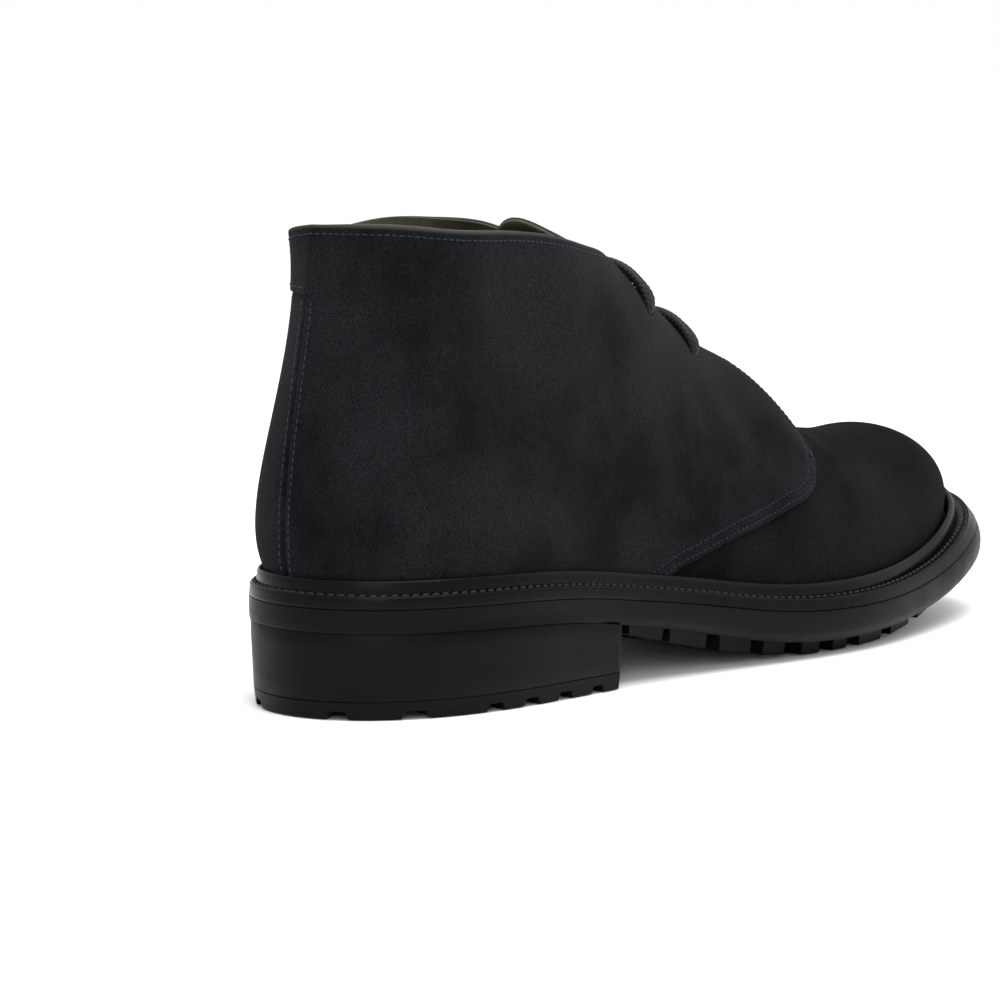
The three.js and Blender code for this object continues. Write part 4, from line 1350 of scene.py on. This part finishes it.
def build_welt():
    points, normal = FINE
    x = points[:, 0]
    s = np.cumsum(np.linalg.norm(points - np.roll(points, 1, axis=0), axis=1))
    bead_wide = margin(x) * BEAD_SHARE
    lip = margin(x) - GAP - bead_wide
    foot = WELT_THICK - SEEN_GAP / 2
    out = side_out(x, foot / sole_thick(x))
    wheel = WHEEL_DEEP * np.cos(2 * np.pi * s / WHEEL_PITCH) * smooth(x, 150, 215)
    ring = []

    def at(depth, rise):
        flat = points - normal * np.reshape(depth * np.ones_like(x), (-1, 1))
        ring.append(np.column_stack([flat, welt_top(x) + rise]))

    for row in WELT_SECTION:
        depth = row["depth"] + row["lip"] * lip - row["out"] * out
        at(depth, row["rise"] - row["down"] * foot + row["wheel"] * wheel)
    for k in range(BEAD_STEPS + 1):
        a = math.pi * k / BEAD_STEPS
        rise = (BEAD_HIGH + BEAD_FOOT) * math.sin(a) ** 0.85 - BEAD_FOOT
        at(lip + bead_wide / 2 * (1 - math.cos(a)), rise)
    at(margin(x) - GAP, -0.6)
    at(WELT_WIDE, -0.6)
    loops = np.stack(ring, 1)
    faces = ring_band(ROUND, len(ring), closed=True)
    obj = piece("welt_strip", loops.reshape(-1, 3), faces, WELT_RUBBER)
    sharp(obj, 50)
    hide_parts("welt")

    seam = inset(FINE, lambda x: (margin(x) * (1 - BEAD_SHARE) - GAP) * WELT_SEAM)
    rows = np.column_stack([seam, welt_top(seam[:, 0]) - 0.02, np.zeros((ROUND, 2)), np.ones(ROUND)])
    rows = np.concatenate([rows, rows[:1]])
    made, faces = stitches([rows], **WELT_STITCH)
    piece("stitches_welt", made, faces, BLACK)


build_welt()


# ---------------------------------------------------------------- outsole
def ladder(count, start):
    """Faces across a flat ring whose two halves run from one end to the other."""
    ends = [(start + i, start + count - 1 - i) for i in range(count // 2)]
    return [(a, b, d, c) for (a, b), (c, d) in zip(ends, ends[1:])]


def capped(rings):
    """Points and faces of rings stacked from the bottom up, closed at both ends."""
    count = len(rings[0])
    last = (len(rings) - 1) * count
    faces = ring_band(len(rings), count) + ladder(count, 0) + turned(ladder(count, last))
    return np.concatenate(rings), faces


def outward(points, faces):
    """The same faces turned so that the closed mesh has a positive volume."""
    volume = 0.0
    points = np.asarray(points)
    for f in faces:
        a = points[f[0]]
        for b, c in zip(f[1:-1], f[2:]):
            volume += a @ np.cross(points[b], points[c])
    return faces if volume > 0 else turned(faces)


COARSE_ROUND = 1200  # steps round the sole
COARSE = outline(COARSE_ROUND)
SIDE_STEPS = 16
SIDE_LEVELS = [(1, 0.3), (0.98, 0.06), *((share, 0) for share in np.linspace(1, 0, SIDE_STEPS)[1:-1])]
SIDE_LEVELS += [(0.01, 0), (0, 0.12)]  # share of the sidewall's height, and how far its corner is rounded


def build_outsole():
    points, normal = COARSE
    x = points[:, 0]
    top_share = (WELT_THICK + SEEN_GAP / 2) / sole_thick(x)
    rings = []
    for share, back in SIDE_LEVELS:
        part = top_share + (1 - top_share) * share
        out = side_out(x, part) - back
        rings.append(np.column_stack([points + normal * out[:, None], welt_top(x) - sole_thick(x) * part]))
    made, faces = capped(rings)
    obj = piece("sole_slab", made, outward(made, faces), SOLE_RUBBER)
    sharp(obj, 50)
    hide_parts("outsole")


def block_of(corners, taper):
    """A lug on the sole: narrower at its foot than at its root, with a small bevel."""
    corners = np.array(corners, float)
    middle = corners.mean(0)
    away = corners - middle
    size = np.linalg.norm(away, axis=1)[:, None]
    rings = []
    levels = ((0, sole_bottom, LUG_ROOT), (0.75, sole_floor, LUG_BEVEL), (1, sole_floor, 0))
    for inward, base, rise in levels:
        ring = middle + away * (1 - inward * taper / size)
        rings.append(np.column_stack([ring, base(ring[:, 0]) + rise]))
    return np.concatenate(rings), bar_faces(len(rings), len(corners))


def sole_floor(x):
    return np.maximum(0, sole_bottom(x) - lug_high(x) - LUG_FLAT)


LUG_ROOT = 1.5  # how far a lug reaches up into the slab
LUG_BEVEL = 0.35
LUG_SLANT = 3
LUG_TAPER = 1.0
CHEVRONS = range(128, 262, 19)  # along the middle of the sole
CHEVRON_FORM = table("x across", (-5, 0), (3, 0), (8, 11), (1, 11))
CHEVRON_START = 2.5
CHEVRON_TAPER = 0.6


def build_lugs():
    points, faces = [], []
    outer = inset(COARSE, LUG_EDGE)

    def add(corners, taper):
        made, quads = block_of(corners, taper)
        add_to(points, faces, made, outward(made, quads))

    for side in SIDES:
        for row in LUGS:
            inner = inset(COARSE, row["deep"])
            start, end = row["start"], row["end"]
            corners = [(x, side * hit(outer, x, 0, 0, side)) for x in (start, end)]
            corners += [(x, side * hit(inner, x, 0, 0, side)) for x in (end - LUG_SLANT, start - LUG_SLANT)]
            add(corners, LUG_TAPER)
    for x in CHEVRONS:
        for side in SIDES:
            corners = [(x + p["x"], CHEVRON_START + side * p["across"]) for p in CHEVRON_FORM]
            add(corners, CHEVRON_TAPER)
    piece("lugs", points, faces, SOLE_RUBBER, smooth_faces=False)


build_outsole()
build_lugs()


# ---------------------------------------------------------------- heel
BREAST_CLEAR = 0.6  # between the heel's curved side and the first point of its breast
BREAST_STEPS = 40
HEEL_LEVELS = table(
    "depth share rise",
    (HEEL_TAPER + 0.2, 0, 0),
    (HEEL_TAPER, 0, 0.2),
    (HEEL_TAPER * 0.75, 0.25, 0),
    (HEEL_TAPER * 0.5, 0.5, 0),
    (HEEL_TAPER * 0.25, 0.75, 0),
    (0.1, 1, -SEEN_GAP - 0.15),
    (0.22, 1, -SEEN_GAP),
)
LIFT_LEVELS = table(
    "depth share rise",
    (HEEL_TAPER + 0.85, 0, 0),
    (HEEL_TAPER + 0.6, 0, 0.25),
    (HEEL_TAPER + 0.05, 0, LIFT_THICK - 0.2),
    (HEEL_TAPER + 0.25, 0, LIFT_THICK),
)
NOTCH_OUT = 5  # how far a notch's cutter stands out of the heel


def heel_ring(depth):
    """The sole's outline behind the breast, closed across it; half lateral, half medial."""
    ring = inset(COARSE, depth)
    half = COARSE_ROUND // 2
    kept = [part[part[:, 0] < HEEL_BREAST - BREAST_CLEAR] for part in (ring[:half], ring[half:])]
    corners = [(HEEL_BREAST, side * hit(ring, HEEL_BREAST, 0, 0, side)) for side in SIDES]
    return np.concatenate([kept[0], np.linspace(*corners, BREAST_STEPS), kept[1]])


def stacked_block(name, low, levels):
    """A block through rings. Each stands its share of the way from low up to the sole, plus a rise."""
    rings = []
    for level in levels:
        flat = heel_ring(level["depth"])
        z = low + (sole_bottom(flat[:, 0]) - low) * level["share"] + level["rise"]
        rings.append(np.column_stack([flat, z]))
    count = min(len(ring) for ring in rings)
    for k, ring in enumerate(rings):
        closed = np.concatenate([ring, ring[:1]])
        along = travelled(closed)
        rings[k] = resampled(closed, along, np.linspace(0, along[-1], count, endpoint=False))
    made, faces = capped_flat(rings)
    return piece(name, made, outward(made, faces), SOLE_RUBBER)


def capped_flat(rings):
    """Stacked rings closed by caps that are triangulated across."""
    count = len(rings[0])
    faces = ring_band(len(rings), count)
    for ring, start, way in ((rings[0], 0, 1), (rings[-1], (len(rings) - 1) * count, -1)):
        flat = [Vector((p[0], p[1], 0)) for p in ring]
        faces += [tuple(v + start for v in f)[::way] for f in tessellate_polygon([flat])]
    return np.concatenate(rings), faces


def notch_cutter(notch, side):
    """A wedge across the lift's edge, wider at the floor than at the notch's top."""
    points, normal = COARSE
    half = COARSE_ROUND // 2
    own = slice(0, half) if side < 0 else slice(half, None)
    k = abs(points[own, 0] - notch["x"]).argmin()
    centre, out = points[own][k], normal[own][k]
    run = np.array([-out[1], out[0]])
    inner = notch["wide"] / 2
    outer = inner + 1
    corners = ((-inner, -notch["reach"]), (inner, -notch["reach"]), (outer, NOTCH_OUT), (-outer, NOTCH_OUT))
    made = [
        (*(centre + run * a * share + out * b), z)
        for share, z in ((1.25, -1.0), (0.75, NOTCH_HIGH)) for a, b in corners
    ]
    walls = [(i, i + 4, (i + 1) % 4 + 4, (i + 1) % 4) for i in range(4)]
    return made, outward(made, [(0, 1, 2, 3), (7, 6, 5, 4), *walls])


def cut_notches(lift):
    points, faces = [], []
    for notch in LIFT_NOTCHES:
        for side in SIDES:
            add_to(points, faces, *notch_cutter(notch, side))
    cutter = piece("notches", points, faces, SOLE_RUBBER)
    cut = lift.modifiers.new("notches", "BOOLEAN")
    cut.operation = "DIFFERENCE"
    cut.solver = "EXACT"
    cut.object = cutter
    made = bpy.data.meshes.new_from_object(lift.evaluated_get(bpy.context.evaluated_depsgraph_get()))
    lift.modifiers.clear()
    lift.data = made
    bpy.data.objects.remove(cutter)


def build_heel():
    block = stacked_block("heel_block", LIFT_THICK + SEEN_GAP, HEEL_LEVELS)
    sharp(block, 50)
    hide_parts("heel")
    lift = stacked_block("heel_lift", 0, LIFT_LEVELS)
    cut_notches(lift)
    sharp(lift, 35)
    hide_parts("top_lift")


build_heel()


# ---------------------------------------------------------------- insole
INSOLE_CLEAR = 0.9  # beside the upper's wall
INSOLE_LEVELS = table("extra rise", (0.3, 0), (0, 0.3), (0, 1.6), (0.4, 2.2), (1.2, 2.5))


def build_insole():
    x = COARSE[0][:, 0]
    rings = []
    for level in INSOLE_LEVELS:
        flat = inset(COARSE, lambda x, extra=level["extra"]: margin(x) + WALL + INSOLE_CLEAR + extra)
        rings.append(np.column_stack([flat, foot_at(x) + level["rise"]]))
    made, faces = capped(rings)
    obj = piece("sock", made, outward(made, faces), LINING)
    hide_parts("insole")
    sharp(obj, 50)


build_insole()


# ---------------------------------------------------------------- stage
# Each light's place and target, width and height in metres, and its power in watts.
LIGHTS = {
    "overhead": ((-0.05, -0.25, 1.1), (0, 0, 0.05), (0.8, 0.8), 15),
    "left": ((-0.9, -0.9, 0.6), (0, 0, 0.06), (0.5, 0.8), 4),
    "right": ((0.8, -0.5, 0.5), (0.05, 0, 0.05), (0.4, 0.7), 0.3),
}
FLOOR_WHITE = (0.93, 0.93, 0.93)
FLOOR_SIZE = 30
FLOOR_DROP = 0.0003
WORLD_STRENGTH = 1.06


def area_light(name, at, toward, size, power):
    data = bpy.data.lights.new(name, "AREA")
    data.shape = "RECTANGLE"
    data.size, data.size_y = size
    data.energy = power
    light = bpy.data.objects.new(name, data)
    light.location = at
    light.rotation_euler = (Vector(toward) - Vector(at)).to_track_quat("-Z", "Y").to_euler()
    bpy.context.scene.collection.objects.link(light)


def build_stage():
    bpy.ops.mesh.primitive_plane_add(size=FLOOR_SIZE, location=(0, 0, -FLOOR_DROP))
    floor = bpy.context.object
    floor.name = "floor"
    material, _ = shader("floor_white", FLOOR_WHITE, 0.6)
    floor.data.materials.append(material)
    world = bpy.data.worlds.new("studio")
    world.use_nodes = True
    background = world.node_tree.nodes["Background"]
    background.inputs["Color"].default_value = (1, 1, 1, 1)
    background.inputs["Strength"].default_value = WORLD_STRENGTH
    bpy.context.scene.world = world
    bpy.context.scene.view_settings.view_transform = "Standard"
    for name, (at, toward, size, power) in LIGHTS.items():
        area_light(name, at, toward, size, power)


build_stage()
